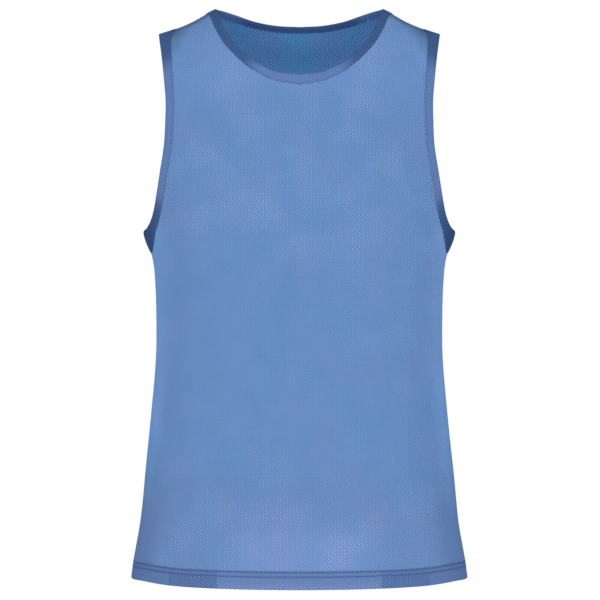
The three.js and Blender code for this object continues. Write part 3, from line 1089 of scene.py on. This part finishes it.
@dataclass
class Panel:
    """One net panel with its turned-up hem, as one sheet of cloth."""

    name: str
    node: str
    face: Face
    flat: tuple[float, float]
    area: float
    columns: int = 46
    body_rows: int = 72
    chest_rows: int = 34
    neck_rows: int = 34
    passes: int = 500
    hem_lines: tuple[float, float] = (14.1, 19.5)
    hem_pitch: float = 3.0
    hem_thread_share: float = 0.86
    groove: float = 0.35
    loose_rows: int = 13  # rows under the underarm that are evened out with the chest's

    def hem_heights(self) -> Array:
        """Heights above the hem's edge of the rows that carry its relief."""
        return np.array([0, 0.6, 2, 5, 8, 10.6, 12.6, 13.4, 14.1, 14.8, 16, 17.4, 18.6, 19.5, 20.4, 21.6, 24])

    def places(self) -> tuple[Array, Array, int]:
        """The turn and level of half the panel's grid, and the row of the neck's low point.

        Returns:
            The turns, the levels and the row.
        """
        neck = self.face.edge_line(Opening.NECK, self.neck_rows)
        arm = self.face.edge_line(Opening.ARM, self.chest_rows + self.neck_rows)
        cut = TAPE_WALL + SEAM_GAP
        neck_turn, neck_level = neck.inwards(cut)
        arm_turn, arm_level = arm.inwards(cut)
        low = self.hem_heights() / BODY_LENGTH - 1
        body = np.linspace(low[-1], arm_level[0], self.body_rows + 1)
        levels = np.concatenate([low, body[1:]])
        share = np.linspace(0, 1, self.columns + 1)
        for edge in DARK_HEM:
            nearest = int(round(edge / 90 * self.columns))
            share[nearest], share[nearest + 1] = (edge - 0.5) / 90, (edge + 0.5) / 90
        turn = np.repeat((share * QUARTER)[None, :], len(levels), axis=0)
        level = np.repeat(levels[:, None], self.columns + 1, axis=1)
        rise = np.linspace(arm_level[0], neck_level[0], self.chest_rows + 1)[1:]
        left_turn = np.concatenate([np.zeros(self.chest_rows), neck_turn[1:]])
        left_level = np.concatenate([rise, neck_level[1:]])
        upper_turn = left_turn[:, None] * (1 - share) + arm_turn[1:, None] * share
        upper_level = left_level[:, None] * (1 - share) + arm_level[1:, None] * share
        first_free = len(levels) - 1 - self.loose_rows
        neck_row = len(levels) - 1 + self.chest_rows
        turn, level = np.vstack([turn, upper_turn]), np.vstack([level, upper_level])
        for _ in range(self.passes):
            for grid in (turn, level):
                around = grid[first_free - 1 : -2, 1:-1] + grid[first_free + 1 :, 1:-1]
                beside = grid[first_free:-1, :-2] + grid[first_free:-1, 2:]
                grid[first_free:-1, 1:-1] = (around + beside) / 4
        return turn, level, neck_row

    def relief(self, level: Array) -> Array:
        """How far the needle lines pull the hem in.

        Args:
            level: the level of each place.

        Returns:
            The lift, below 0 in a groove.
        """
        height = (level + 1) * BODY_LENGTH
        return -self.groove * sum(bell(height, line, 0.8) for line in self.hem_lines)

    def build(self) -> bpy.types.Object:
        """Builds the sheet, from the turned-up edge inside round the hem and up to the shoulders.

        Returns:
            The sheet, with its marks.
        """
        turn, level, neck_row = self.places()
        across, up = self.face.flat_place(turn, level)
        inside_heights = np.array([19.8, 16.5, 13, 9.5, 6, 3, 1.0])
        inside_turn = np.repeat(turn[:1], len(inside_heights), axis=0)
        inside_level = np.repeat((inside_heights / BODY_LENGTH - 1)[:, None], turn.shape[1], axis=1)
        inside_up = up[0] - inside_heights[:, None]
        pieces, texture, ids = [], [], []
        extra = len(inside_heights) + 1
        rows, columns = turn.shape[0] + extra, turn.shape[1]
        for side in Side:
            outer = self.face.surface(side, turn, level, SHEET_OFF + self.relief(level))
            inner = self.face.surface(side, inside_turn, inside_level, SHEET_OFF - CLOTH_WALL)
            bottom = (outer[:1] + self.face.surface(side, turn[:1], level[:1], SHEET_OFF - CLOTH_WALL)) / 2
            bottom[..., 2] -= 0.5
            pieces.append(np.concatenate([inner, bottom, outer]).reshape(-1, 3))
            u = np.concatenate([np.repeat(across[:1], extra, axis=0), across]) * side.value
            v = np.concatenate([inside_up, up[:1] - 0.3, up])
            texture.append(np.stack([u, v], axis=-1).reshape(-1, 2))
            ids.append(np.arange(rows * columns).reshape(rows, columns) + len(ids) * rows * columns)
        ids[1][: neck_row + extra + 1, 0] = ids[0][: neck_row + extra + 1, 0]
        faces = np.concatenate(
            [grid_faces(each, side * self.face.outward > 0) for each, side in zip(ids, (1, -1))]
        )
        piece = make_piece(self.name, np.concatenate(pieces), faces, np.concatenate(texture))
        used = np.unique(faces)
        for name, values in self.marks(turn, level, extra).items():
            add_values(piece, name, np.concatenate([values, values])[used])
        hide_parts(self.node)
        return piece

    def marks(self, turn: Array, level: Array, extra: int) -> dict[str, Array]:
        """What the cloth looks like from place to place: doubled, with painted shade and painted light, or
        with plainer holes.

        Args:
            turn: the turn of each place of the outer layer.
            level: its level.
            extra: how many rows of the turned-up layer come first.

        Returns:
            For each vertex of half the panel: how much it belongs to the hem, how much painted shade it gets
                (below
            0 painted light), how clearly its holes and their painted light show, how much painted shade its
            holes take, how much painted glow its inside gets and how much its colour leans to lilac.
        """
        height = (level + 1) * BODY_LENGTH
        degrees = np.degrees(turn)
        top = self.hem_lines[1]
        band = eased(height, top + 1.6, top + 0.1)
        dots, dark = self.holes(degrees, level, band)
        # How much painted glow the inside gets: none above 42 mm below the shoulder point, full below 87 mm.
        painted_glow = eased(self.face.bare(Side.LEFT, turn, level)[..., 2], -42, -87)
        centre = eased(degrees, 40, 10) * eased(level, -0.62, -0.87)
        lilac = (0.5 + 0.5 * centre) * eased(level, -0.6, -0.8) * (1 - 0.5 * band)
        tucked = np.ones((extra, turn.shape[1]))
        layers = {
            "hem_band": (tucked, band),
            # The turned-up layer gets a little painted shade.
            "shade": (0.15 * tucked, self.shade(turn, level)),
            "dots": (0.5 * tucked, dots),
            "dark_holes": (tucked, dark),
            "lit_through": (tucked, painted_glow),
            "lilac": (0 * tucked, lilac),
        }
        return {name: np.concatenate(both).ravel() for name, both in layers.items()}

    def holes(self, degrees: Array, level: Array, band: Array) -> tuple[Array, Array]:
        """How the net's holes look from place to place.

        In the hem they are pale with painted light at the centre, large and dark with painted shade over a
        stretch of each side, and faint at the corners. Above it their painted light fades over the middle of
        the body, and low at the sides they are dark with painted shade.

        Args:
            degrees: how far round from the centre each place is.
            level: its level.
            band: how much it belongs to the hem.

        Returns:
            How clearly the holes and their painted light show, over 1 where they are larger, and how much
            painted shade they take.
        """
        height = (level + 1) * BODY_LENGTH
        past_start, past_stop = (eased(degrees, edge - 0.5, edge + 0.5) for edge in DARK_HEM)
        stretch = past_start * (1 - past_stop)
        faint = (1 - past_start) * (0.2 + 0.5 * eased(height, 7, 3)) + 0.55 * past_start
        strong = 0.5 + 0.75 * eased(height, 14, 12.8)
        in_hem = faint + stretch * (strong - faint)
        clear = (1 - band * (1 - in_hem)) * (1 - 0.5 * eased(np.abs(level + 0.4), 0.5, 0.25))
        low_side = 0.7 * eased(degrees, 46, 58) * eased(level, -0.7, -0.84) * (1 - band)
        return clear, (stretch + 0.75 * past_stop) * band + low_side

    def shade(self, turn: Array, level: Array) -> Array:
        """How much painted shade each place gets: along the shoulder seam and the needle lines, and where the
        cloth turns away from the light; below 0 painted light.

        Args:
            turn: the turn of each place.
            level: its level.

        Returns:
            The share by which each place is darker.
        """
        height = (level + 1) * BODY_LENGTH
        low_line, high_line = self.hem_lines
        # Painted shade in the needle lines' grooves.
        needles = 0.34 * bell(height, low_line, 1.2) + 0.43 * bell(height, high_line, 1.6)
        return needles + self.shoulder_shade(turn, level) + self.side_shade(np.degrees(turn), level, height)

    def shoulder_shade(self, turn: Array, level: Array) -> Array:
        """How much painted shade the cloth gets under the shoulder's ridge, at its tip and beside the
        armhole's tape, and painted light over the yoke.

        Args:
            turn: the turn of each place.
            level: its level.

        Returns:
            The share by which each place is darker.
        """
        seen = self.face.bare(Side.LEFT, turn, level)
        across = seen[..., 0]
        below = read_smoothly(SHOULDER_RIDGE, 1, across) - seen[..., 2]
        chest = eased(level, 0, 0.3)
        # Painted shade under the ridge, at the tip and beside the tape; painted light over the yoke.
        ridge = 0.72 * chest * eased(below, 9.5, 2.5)
        tip = 0.95 * chest * eased(below, 26, 0) * eased(across, 126, 152)
        strip = 0.42 * chest * eased(below, 40, 16) * eased(across, 137, 147)
        return np.maximum(np.maximum(ridge, tip), strip) - 0.19 * eased(level, 0.45, 0.75)

    def side_shade(self, degrees: Array, level: Array, height: Array) -> Array:
        """How much painted shade the cloth gets under the arm, low down and on the hem's sides, and how much
        painted light along the sides and at the low centre.

        Args:
            degrees: how far round from the centre each place is.
            level: its level.
            height: its height above the hem's edge.

        Returns:
            The share by which each place is darker, below 0 where lighter.
        """
        # Painted shade under the arm, low at the sides and on the hem's sides; painted light along the sides
        # and at the low centre.
        under_arm = 0.75 * eased(degrees, 77, 87) * eased(level, -0.12, -0.07) * eased(level, 0.05, 0)
        light_side = 0.52 * eased(degrees, 46, 70) * eased(level, -0.85, -0.5) * eased(level, 0.22, -0.08)
        low_side = 0.05 * eased(degrees, 62, 82) * eased(level, -0.7, -0.9)
        hem_side = 0.1 * eased(degrees, DARK_HEM[0], DARK_HEM[0] + 1) * eased(height, 20, 18.5)
        low = eased(level, -0.66, -0.72) * eased(height, 20, 23)
        centre = eased(degrees, 30, 16) * eased(level, -0.79, -0.89)
        return under_arm + low_side - light_side + hem_side + low * (0.06 - 0.18 * centre)

    def hem_stitches(self) -> tuple[Array, Array]:
        """The two needle lines outside and the looping thread that joins them inside.

        Returns:
            The points and the faces.
        """
        parts = []
        dense = np.linspace(0, QUARTER, FINE_STEPS)
        for side in Side:
            rows = []
            for height in self.hem_lines:
                level = np.full_like(dense, height / BODY_LENGTH - 1)
                travelled = along_line(self.face.bare(side, dense, level))
                stops = np.arange(self.hem_pitch / 2, travelled[-1] - 2, self.hem_pitch)
                turns = np.interp(stops, travelled, dense)
                rows.append((height, turns))
                parts.append(self.needle_line(side, height, turns))
            parts.append(self.loop_line(side, rows))
        return joined(parts)

    def needle_line(self, side: Side, height: float, turns: Array) -> tuple[Array, Array]:
        """One outside row of stitches along the hem.

        Args:
            side: the wearer's side.
            height: its height above the hem's edge.
            turns: where the stitches are.

        Returns:
            The points and the faces.
        """
        level = np.full_like(turns, height / BODY_LENGTH - 1)
        half = np.gradient(turns) * self.hem_thread_share / 2
        off = SHEET_OFF - self.groove + 0.2
        starts = self.face.surface(side, turns - half, level, off)
        ends = self.face.surface(side, turns + half, level, off)
        return thread_bits(starts, ends, self.face.normal(side, turns, level), 0.36)

    def loop_line(self, side: Side, lines: list) -> tuple[Array, Array]:
        """The thread inside the hem that crosses from one needle line to the other and back.

        Args:
            side: the wearer's side.
            lines: the height and the turns of both needle lines.

        Returns:
            The points and the faces.
        """
        (low, low_turns), (high, high_turns) = lines
        count = min(len(low_turns), len(high_turns)) - 1
        low_level = np.full(count, low / BODY_LENGTH - 1)
        high_level = np.full(count, high / BODY_LENGTH - 1)
        off = SHEET_OFF - CLOTH_WALL - 0.25
        foot = self.face.surface(side, low_turns[:count], low_level, off)
        head = self.face.surface(side, high_turns[:count], high_level, off)
        back = self.face.surface(side, low_turns[1 : count + 1], low_level, off)
        inwards = -self.face.normal(side, low_turns[:count], low_level)
        starts, ends = np.concatenate([foot, head]), np.concatenate([head, back])
        return thread_bits(starts, ends, np.concatenate([inwards, inwards]), 0.2)


@dataclass
class Binding:
    """A knit tape folded over the raw edge of an opening and sewn down with one line of stitches."""

    name: str
    node: str
    opening: Opening
    sides: tuple[Side, ...]
    widths: Array
    flat: tuple[float, float]
    steps: int
    inner_share: float = 0.95
    stitch_inset: float = 2.2
    stitch_pitch: float = 3.9
    stitch_length: float = 1.8
    stitch_stations: int = 900
    crown: float = 0.2
    # how dark the painted shadow line along the outside's sewn edge is
    edge_line: float = 0.4
    back_widths: Array | None = None

    def width_at(self, face: Face, share: Array) -> Array:
        """How wide the tape lies at a share of one face's half edge."""
        own = face is BACK and self.back_widths is not None
        return read_smoothly(self.back_widths if own else self.widths, 1, share)

    def profile(self, width: float, pressed: float = 1.0) -> Array:
        """The closed section of the tape: how far in from the fold, and how far off the cloth.

        Args:
            width: how wide the tape lies.
            pressed: how thick its leaves are, as a share of their usual wall.

        Returns:
            The corners in order.
        """
        w, low, top, under = width, LEAF_GAP, LEAF_GAP + LEAF_WALL * pressed, -CLOTH_WALL
        dip = w - self.stitch_inset
        leaf = [
            (w, low + 0.2 * pressed),
            (w - 0.1, top - 0.25 * pressed),
            (w - 0.45, top - 0.05 * pressed),
            (w - 0.9, top),
            (dip + 0.6, top),
            (dip, top - 0.25 * pressed),
            (dip - 0.8, top),
            (dip - 2.2, top + self.crown * pressed * 0.8),
            (w * 0.45, top + self.crown * pressed),
            (3.0, top + self.crown * pressed * 0.7),
            (1.7, top - 0.05),
            (0.8, top - 0.4 * pressed),
            (0.22, -0.1),
        ]
        inner = [(s * self.inner_share, under - h) for s, h in reversed(leaf)]
        back = w * self.inner_share
        pocket = [(back - 0.3, under - low), (w * 0.5, under - low), (2.2, under - low), (1.2, under / 2)]
        pocket += [(2.2, low), (w * 0.5, low), (w - 0.3, low)]
        return np.array([*leaf, (0.0, under / 2), *inner, *pocket])

    def sections(self) -> tuple[Array, Array]:
        """The tape's sections round the opening, and how much painted shade each station gets.

        Returns:
            The sections one after another, and a number for each.
        """
        share = np.linspace(0, 1, self.steps + 1)
        pressed = 1 - 0.6 * eased(share, 0.9, 0.98)
        runs, shades = [], []
        for side in self.sides:
            pair = []
            for face in (FRONT, BACK):
                profile = np.array([self.profile(*each) for each in zip(self.width_at(face, share), pressed)])
                line = face.edge_line(self.opening, self.steps)
                turn, level = line.turn[:, None], line.level[:, None]
                turn = np.clip(turn + line.turn_inwards[:, None] * profile[..., 0], 0, QUARTER)
                level = np.clip(level + line.level_inwards[:, None] * profile[..., 0], -1, 1)
                pair.append(face.surface(side, turn, level, profile[..., 1]))
            meets = [self.steps] if self.opening is Opening.NECK else [0, self.steps]
            for k in meets:
                shared = (pair[0][k] + pair[1][k]) / 2
                pair[0][k], pair[1][k] = shared, shared
            run = np.concatenate([pair[0][:-1], pair[1][::-1]])
            shade = np.concatenate([self.turned(FRONT)[:-1], self.turned(BACK)[::-1]])
            if side is Side.RIGHT and len(self.sides) > 1:
                run, shade = run[::-1], shade[::-1]
            runs.append(run[:-1])
            shades.append(shade[:-1])
        return np.concatenate(runs), np.concatenate(shades)

    def turned(self, face: Face) -> Array:
        """How much painted shade each station of one face's half edge gets, past 1 the deeper painted shade.

        Args:
            face: the face.

        Returns:
            A number for each station.
        """
        share = np.linspace(0, 1, self.steps + 1)
        if self.opening is Opening.NECK:
            if face is FRONT:
                return eased(share, 0.24, 0.41)
            return 1.2 - 0.9 * eased(share, 0.45, 0.7) * (1 - 0.6 * eased(share, 0.84, 0.94))
        low = eased(share, 0.29, 0.2) + 0.8 * eased(share, 0.22, 0.06)
        return np.maximum(low, eased(share, 0.762, 0.872))

    def darkened(self, shade: Array, around: int) -> Array:
        """How much painted shade each corner of each section gets, with a painted shadow line along the
        outside's sewn edge.

        Args:
            shade: how dark each section is.
            around: how many corners a section has.

        Returns:
            A number for each corner.
        """
        values = np.repeat(shade[:, None], around, axis=1)
        strength = self.edge_line * (0.4 + 0.6 * eased(shade, 0, 0.25))
        values[:, :3] = np.maximum(values[:, :3], strength[:, None])
        return values

    def build(self) -> bpy.types.Object:
        """Builds the tape as a closed ring.

        Returns:
            The tape.
        """
        rings, shade = self.sections()
        count, around = rings.shape[:2]
        ids = np.arange(count * around).reshape(count, around)
        ids = np.concatenate([ids, ids[:1]])
        ids = np.concatenate([ids, ids[:, :1]], axis=1)
        faces = grid_faces(ids, False)
        middle = rings.mean(axis=1)
        along = along_line(middle)
        across = along_line(self.profile(self.widths[-1, 1]))
        uv = np.stack(np.broadcast_arrays(along[:, None], across[None, :]), axis=-1)
        piece = make_piece(self.name, rings.reshape(-1, 3), faces, uv.reshape(-1, 2))
        # Painted shade along the tape, with its painted shadow line.
        add_values(piece, "turned_away", self.darkened(shade, around).ravel())
        outward_faces(piece)
        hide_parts(self.node)
        return piece

    def stitches(self) -> tuple[Array, Array]:
        """The stitches along the sewn edge, outside and inside.

        Returns:
            The points and the faces.
        """
        parts = []
        outer = LEAF_GAP + LEAF_WALL - 0.15
        half = self.stitch_length / 2
        for side in self.sides:
            for face in (FRONT, BACK):
                line = face.edge_line(self.opening, self.stitch_stations)
                widths = self.width_at(face, np.linspace(0, 1, self.stitch_stations + 1))
                turn, level = line.inwards(widths - self.stitch_inset)
                travelled = along_line(face.bare(side, turn, level))
                at = np.arange(self.stitch_pitch / 2, travelled[-1] - self.stitch_pitch, self.stitch_pitch)
                start, middle, end = (
                    (np.interp(at + shift, travelled, turn), np.interp(at + shift, travelled, level))
                    for shift in (-half, 0, half)
                )
                normal = face.normal(side, *middle)
                for off, sign in ((outer, 1), (-CLOTH_WALL - outer, -1)):
                    starts, ends = face.surface(side, *start, off), face.surface(side, *end, off)
                    parts.append(thread_bits(starts, ends, normal * sign, 0.3))
        return joined(parts)


def outward_faces(piece: bpy.types.Object) -> None:
    """Turns a closed piece's faces outwards.

    Args:
        piece: the piece, whose surface is closed.
    """
    work = bmesh.new()
    work.from_mesh(piece.data)
    bmesh.ops.recalc_face_normals(work, faces=work.faces)
    work.to_mesh(piece.data)
    work.free()


@dataclass
class Seam:
    """The seam allowances inside a side or shoulder seam, pressed to the back and overlocked together."""

    name: str
    shoulder: bool
    side: Side
    width: float = 7.0
    steps: int = 90
    across: int = 4
    layers: tuple[float, ...] = (-1.7, -2.3)

    def line(self) -> Line:
        """The seam's own line on the back, and the way into the back panel from it.

        Returns:
            The line.
        """
        if self.shoulder:
            neck = BACK.edge_line(Opening.NECK, 10).turn[-1]
            arm = BACK.edge_line(Opening.ARM, 10).turn[-1]
            turn = np.linspace(neck + 0.02, arm - 0.02, self.steps)
            return Line(turn, np.ones(self.steps), np.zeros(self.steps), np.zeros(self.steps))
        level = np.linspace(-0.994, -0.012, self.steps)
        return Line(np.full(self.steps, QUARTER), level, np.zeros(self.steps), np.zeros(self.steps))

    def places(self) -> tuple[Array, Array]:
        """The turn and level of each place of the strip.

        Returns:
            The turns and the levels, a row for each step along the seam.
        """
        line = self.line()
        reach = np.linspace(0.2, self.width, self.across + 1)
        dense = np.linspace(0, 0.3, 300)
        turns, levels = [], []
        for turn, level in zip(line.turn, line.level):
            if self.shoulder:
                way_turn, way_level = np.full_like(dense, turn), 1 - dense * 0.5
            else:
                way_turn, way_level = QUARTER - dense, np.full_like(dense, level)
            travelled = along_line(BACK.bare(self.side, way_turn, way_level))
            turns.append(np.interp(reach, travelled, way_turn))
            levels.append(np.interp(reach, travelled, way_level))
        return np.array(turns), np.array(levels)

    def build(self) -> bpy.types.Object:
        """Builds the two layers of the allowance.

        Returns:
            The strip.
        """
        turn, level = self.places()
        across, up = BACK.flat_place(turn, level)
        faces = grid_faces(np.arange(turn.size).reshape(turn.shape), False)
        parts, texture = [], []
        for k, off in enumerate(self.layers):
            parts.append((BACK.surface(self.side, turn, level, off).reshape(-1, 3), faces))
            texture.append(np.stack([across + 0.9 * k, up + 1.3 * k], axis=-1).reshape(-1, 2))
        piece = make_piece(self.name, *joined(parts), np.concatenate(texture))
        return piece

    def overlock(self) -> tuple[Array, Array]:
        """The slanting stitches over the allowance's raw edge.

        Returns:
            The points and the faces.
        """
        turn, level = self.places()
        off = self.layers[-1] - 0.3
        points = BACK.surface(self.side, turn, level, off)
        inwards = -BACK.normal(self.side, turn[:, 2], level[:, 2])
        return thread_bits(points[:-1, 1], points[1:, -1], inwards[:-1], 0.2)


@dataclass
class Bib:
    """The whole bib."""

    def panels(self) -> list[Panel]:
        """The two net panels."""
        return [
            Panel("front_net", "front_panel", FRONT, (0.555, 0.752), 0.308),
            Panel("back_net", "back_panel", BACK, (0.561, 0.773), 0.33),
        ]

    def bindings(self) -> list[Binding]:
        """The three bindings.

        Returns:
            The neck's binding and those of the armholes.
        """
        neck = Binding("neck_tape", "neck_binding", Opening.NECK, (L, R), NECK_TAPE, (0.021, 0.612), 110,
                       inner_share=0.85, edge_line=1.5, back_widths=NECK_TAPE_BEHIND)
        arms = [
            Binding(f"{name}_arm_tape", f"armhole_binding_{name}", Opening.ARM, (side,), ARM_TAPE,
                    (0.0275, 0.587), 150)
            for name, side in (("left", L), ("right", R))
        ]
        return [neck, *arms]

    def seams(self) -> list[Seam]:
        """The four seams' allowances."""
        return [
            Seam(f"{name}_{seam}_allowance", seam == "shoulder", side, steps=steps)
            for seam, steps in (("side", 150), ("shoulder", 30))
            for name, side in (("left", L), ("right", R))
        ]

    def build(self) -> list[bpy.types.Object]:
        """Builds and dresses every piece.

        Returns:
            The pieces.
        """
        net, knit, thread, overlock = NET.build(), KNIT.build(), THREAD.build(), SEAM_THREAD.build()
        allowances, pieces = [], []
        for seam in self.seams():
            strip = seam.build()
            strip.data.materials.append(net)
            edge = make_piece(seam.name.replace("allowance", "overlock"), *seam.overlock())
            edge.data.materials.append(overlock)
            allowances += [strip, edge]
        for panel in self.panels():
            sheet = panel.build()
            sheet.data.materials.append(net)
            hem = make_piece(panel.name + "_hem_stitches", *panel.hem_stitches())
            hem.data.materials.append(thread)
            pieces += [sheet, hem]
        for binding in self.bindings():
            tape = binding.build()
            tape.data.materials.append(knit)
            sewing = make_piece(binding.name + "_stitches", *binding.stitches())
            sewing.data.materials.append(thread)
            pieces += [tape, sewing]
        return allowances + pieces


def report(piece: bpy.types.Object) -> None:
    """Logs a piece's size.

    Args:
        piece: the piece.
    """
    mesh = piece.data
    area = sum(polygon.area for polygon in mesh.polygons)
    LOG.info("%s: %d faces, %.4f square metres", piece.name, len(mesh.polygons), area)


@dataclass
class Studio:
    """A white surround, a plain pale floor, broad soft lights from the front and behind, and the camera."""

    field: float = 0.723
    distance: float = 3.6
    across: float = 0.0008
    height: float = -0.3507
    ambient: float = 0.62
    key_power: float = 34.0
    rear_power: float = 26.0
    lamp_size: float = 1.4
    lamp_aside: float = 1.5
    lamp_away: float = 3.4
    lamp_height: float = -0.3
    floor_height: float = -1.25
    floor_reach: float = 3.0

    def build(self) -> None:
        """Builds the whole studio."""
        self.world()
        self.lights()
        self.floor()
        self.camera()
        bpy.context.scene.view_settings.view_transform = "Standard"

    def world(self) -> None:
        """A white surround that lights the cloth more dimly than it looks."""
        world = bpy.data.worlds.new("white_surround")
        bpy.context.scene.world = world
        world.use_nodes = True
        nodes = Nodes(world.node_tree)
        background = world.node_tree.nodes["Background"]
        seen = nodes.add("ShaderNodeLightPath").outputs["Is Camera Ray"]
        shade = (self.ambient, self.ambient, self.ambient, 1)
        nodes.feed(background.inputs["Color"], nodes.blend(seen, shade, (1, 1, 1, 1)))
        background.inputs["Strength"].default_value = 1.0

    def lights(self) -> None:
        """Two broad lamps, left and right of the camera, and two dimmer ones behind."""
        for x in (-self.lamp_aside, self.lamp_aside):
            for y, power in ((-self.lamp_away, self.key_power), (self.lamp_away, self.rear_power)):
                lamp = bpy.data.lights.new("lamp", "AREA")
                lamp.shape = "SQUARE"
                lamp.size = self.lamp_size
                lamp.energy = power
                holder = bpy.data.objects.new("lamp", lamp)
                holder.location = (x, y, self.lamp_height)
                holder.rotation_euler = (QUARTER, 0, math.atan2(x, -y))
                bpy.context.scene.collection.objects.link(holder)

    def floor(self) -> None:
        """A plain pale floor, well below the hem."""
        reach, z = self.floor_reach, self.floor_height
        mesh = bpy.data.meshes.new("floor")
        corners = [(-reach, -reach, z), (reach, -reach, z), (reach, reach, z), (-reach, reach, z)]
        mesh.from_pydata(corners, [], [(0, 1, 2, 3)])
        floor = bpy.data.objects.new("floor", mesh)
        bpy.context.scene.collection.objects.link(floor)
        material = bpy.data.materials.new("pale_floor")
        material.use_nodes = True
        nodes = Nodes(material.node_tree)
        grain = nodes.noise(nodes.add("ShaderNodeTexCoord").outputs["Object"], 6.0)
        shader = material.node_tree.nodes["Principled BSDF"]
        nodes.feed(shader.inputs["Base Color"], nodes.blend(grain, (0.86, 0.86, 0.86, 1), (0.9, 0.9, 0.9, 1)))
        shader.inputs["Roughness"].default_value = 0.9
        mesh.materials.append(material)

    def camera(self) -> None:
        """A level camera in front of the bib."""
        data = bpy.data.cameras.new("camera")
        data.lens = data.sensor_width * self.distance / self.field
        holder = bpy.data.objects.new("camera", data)
        holder.location = (self.across, -self.distance, self.height)
        holder.rotation_euler = (QUARTER, 0, 0)
        bpy.context.scene.collection.objects.link(holder)
        bpy.context.scene.camera = holder


def main() -> None:
    """Builds the shared groups, the bib and the studio in order."""
    logging.basicConfig(level=logging.INFO, format="%(message)s")
    net_lattice()
    yarn_mottle()
    knit_ribs()
    for piece in Bib().build():
        report(piece)
    Studio().build()
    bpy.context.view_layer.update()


if __name__ == "__main__":
    main()
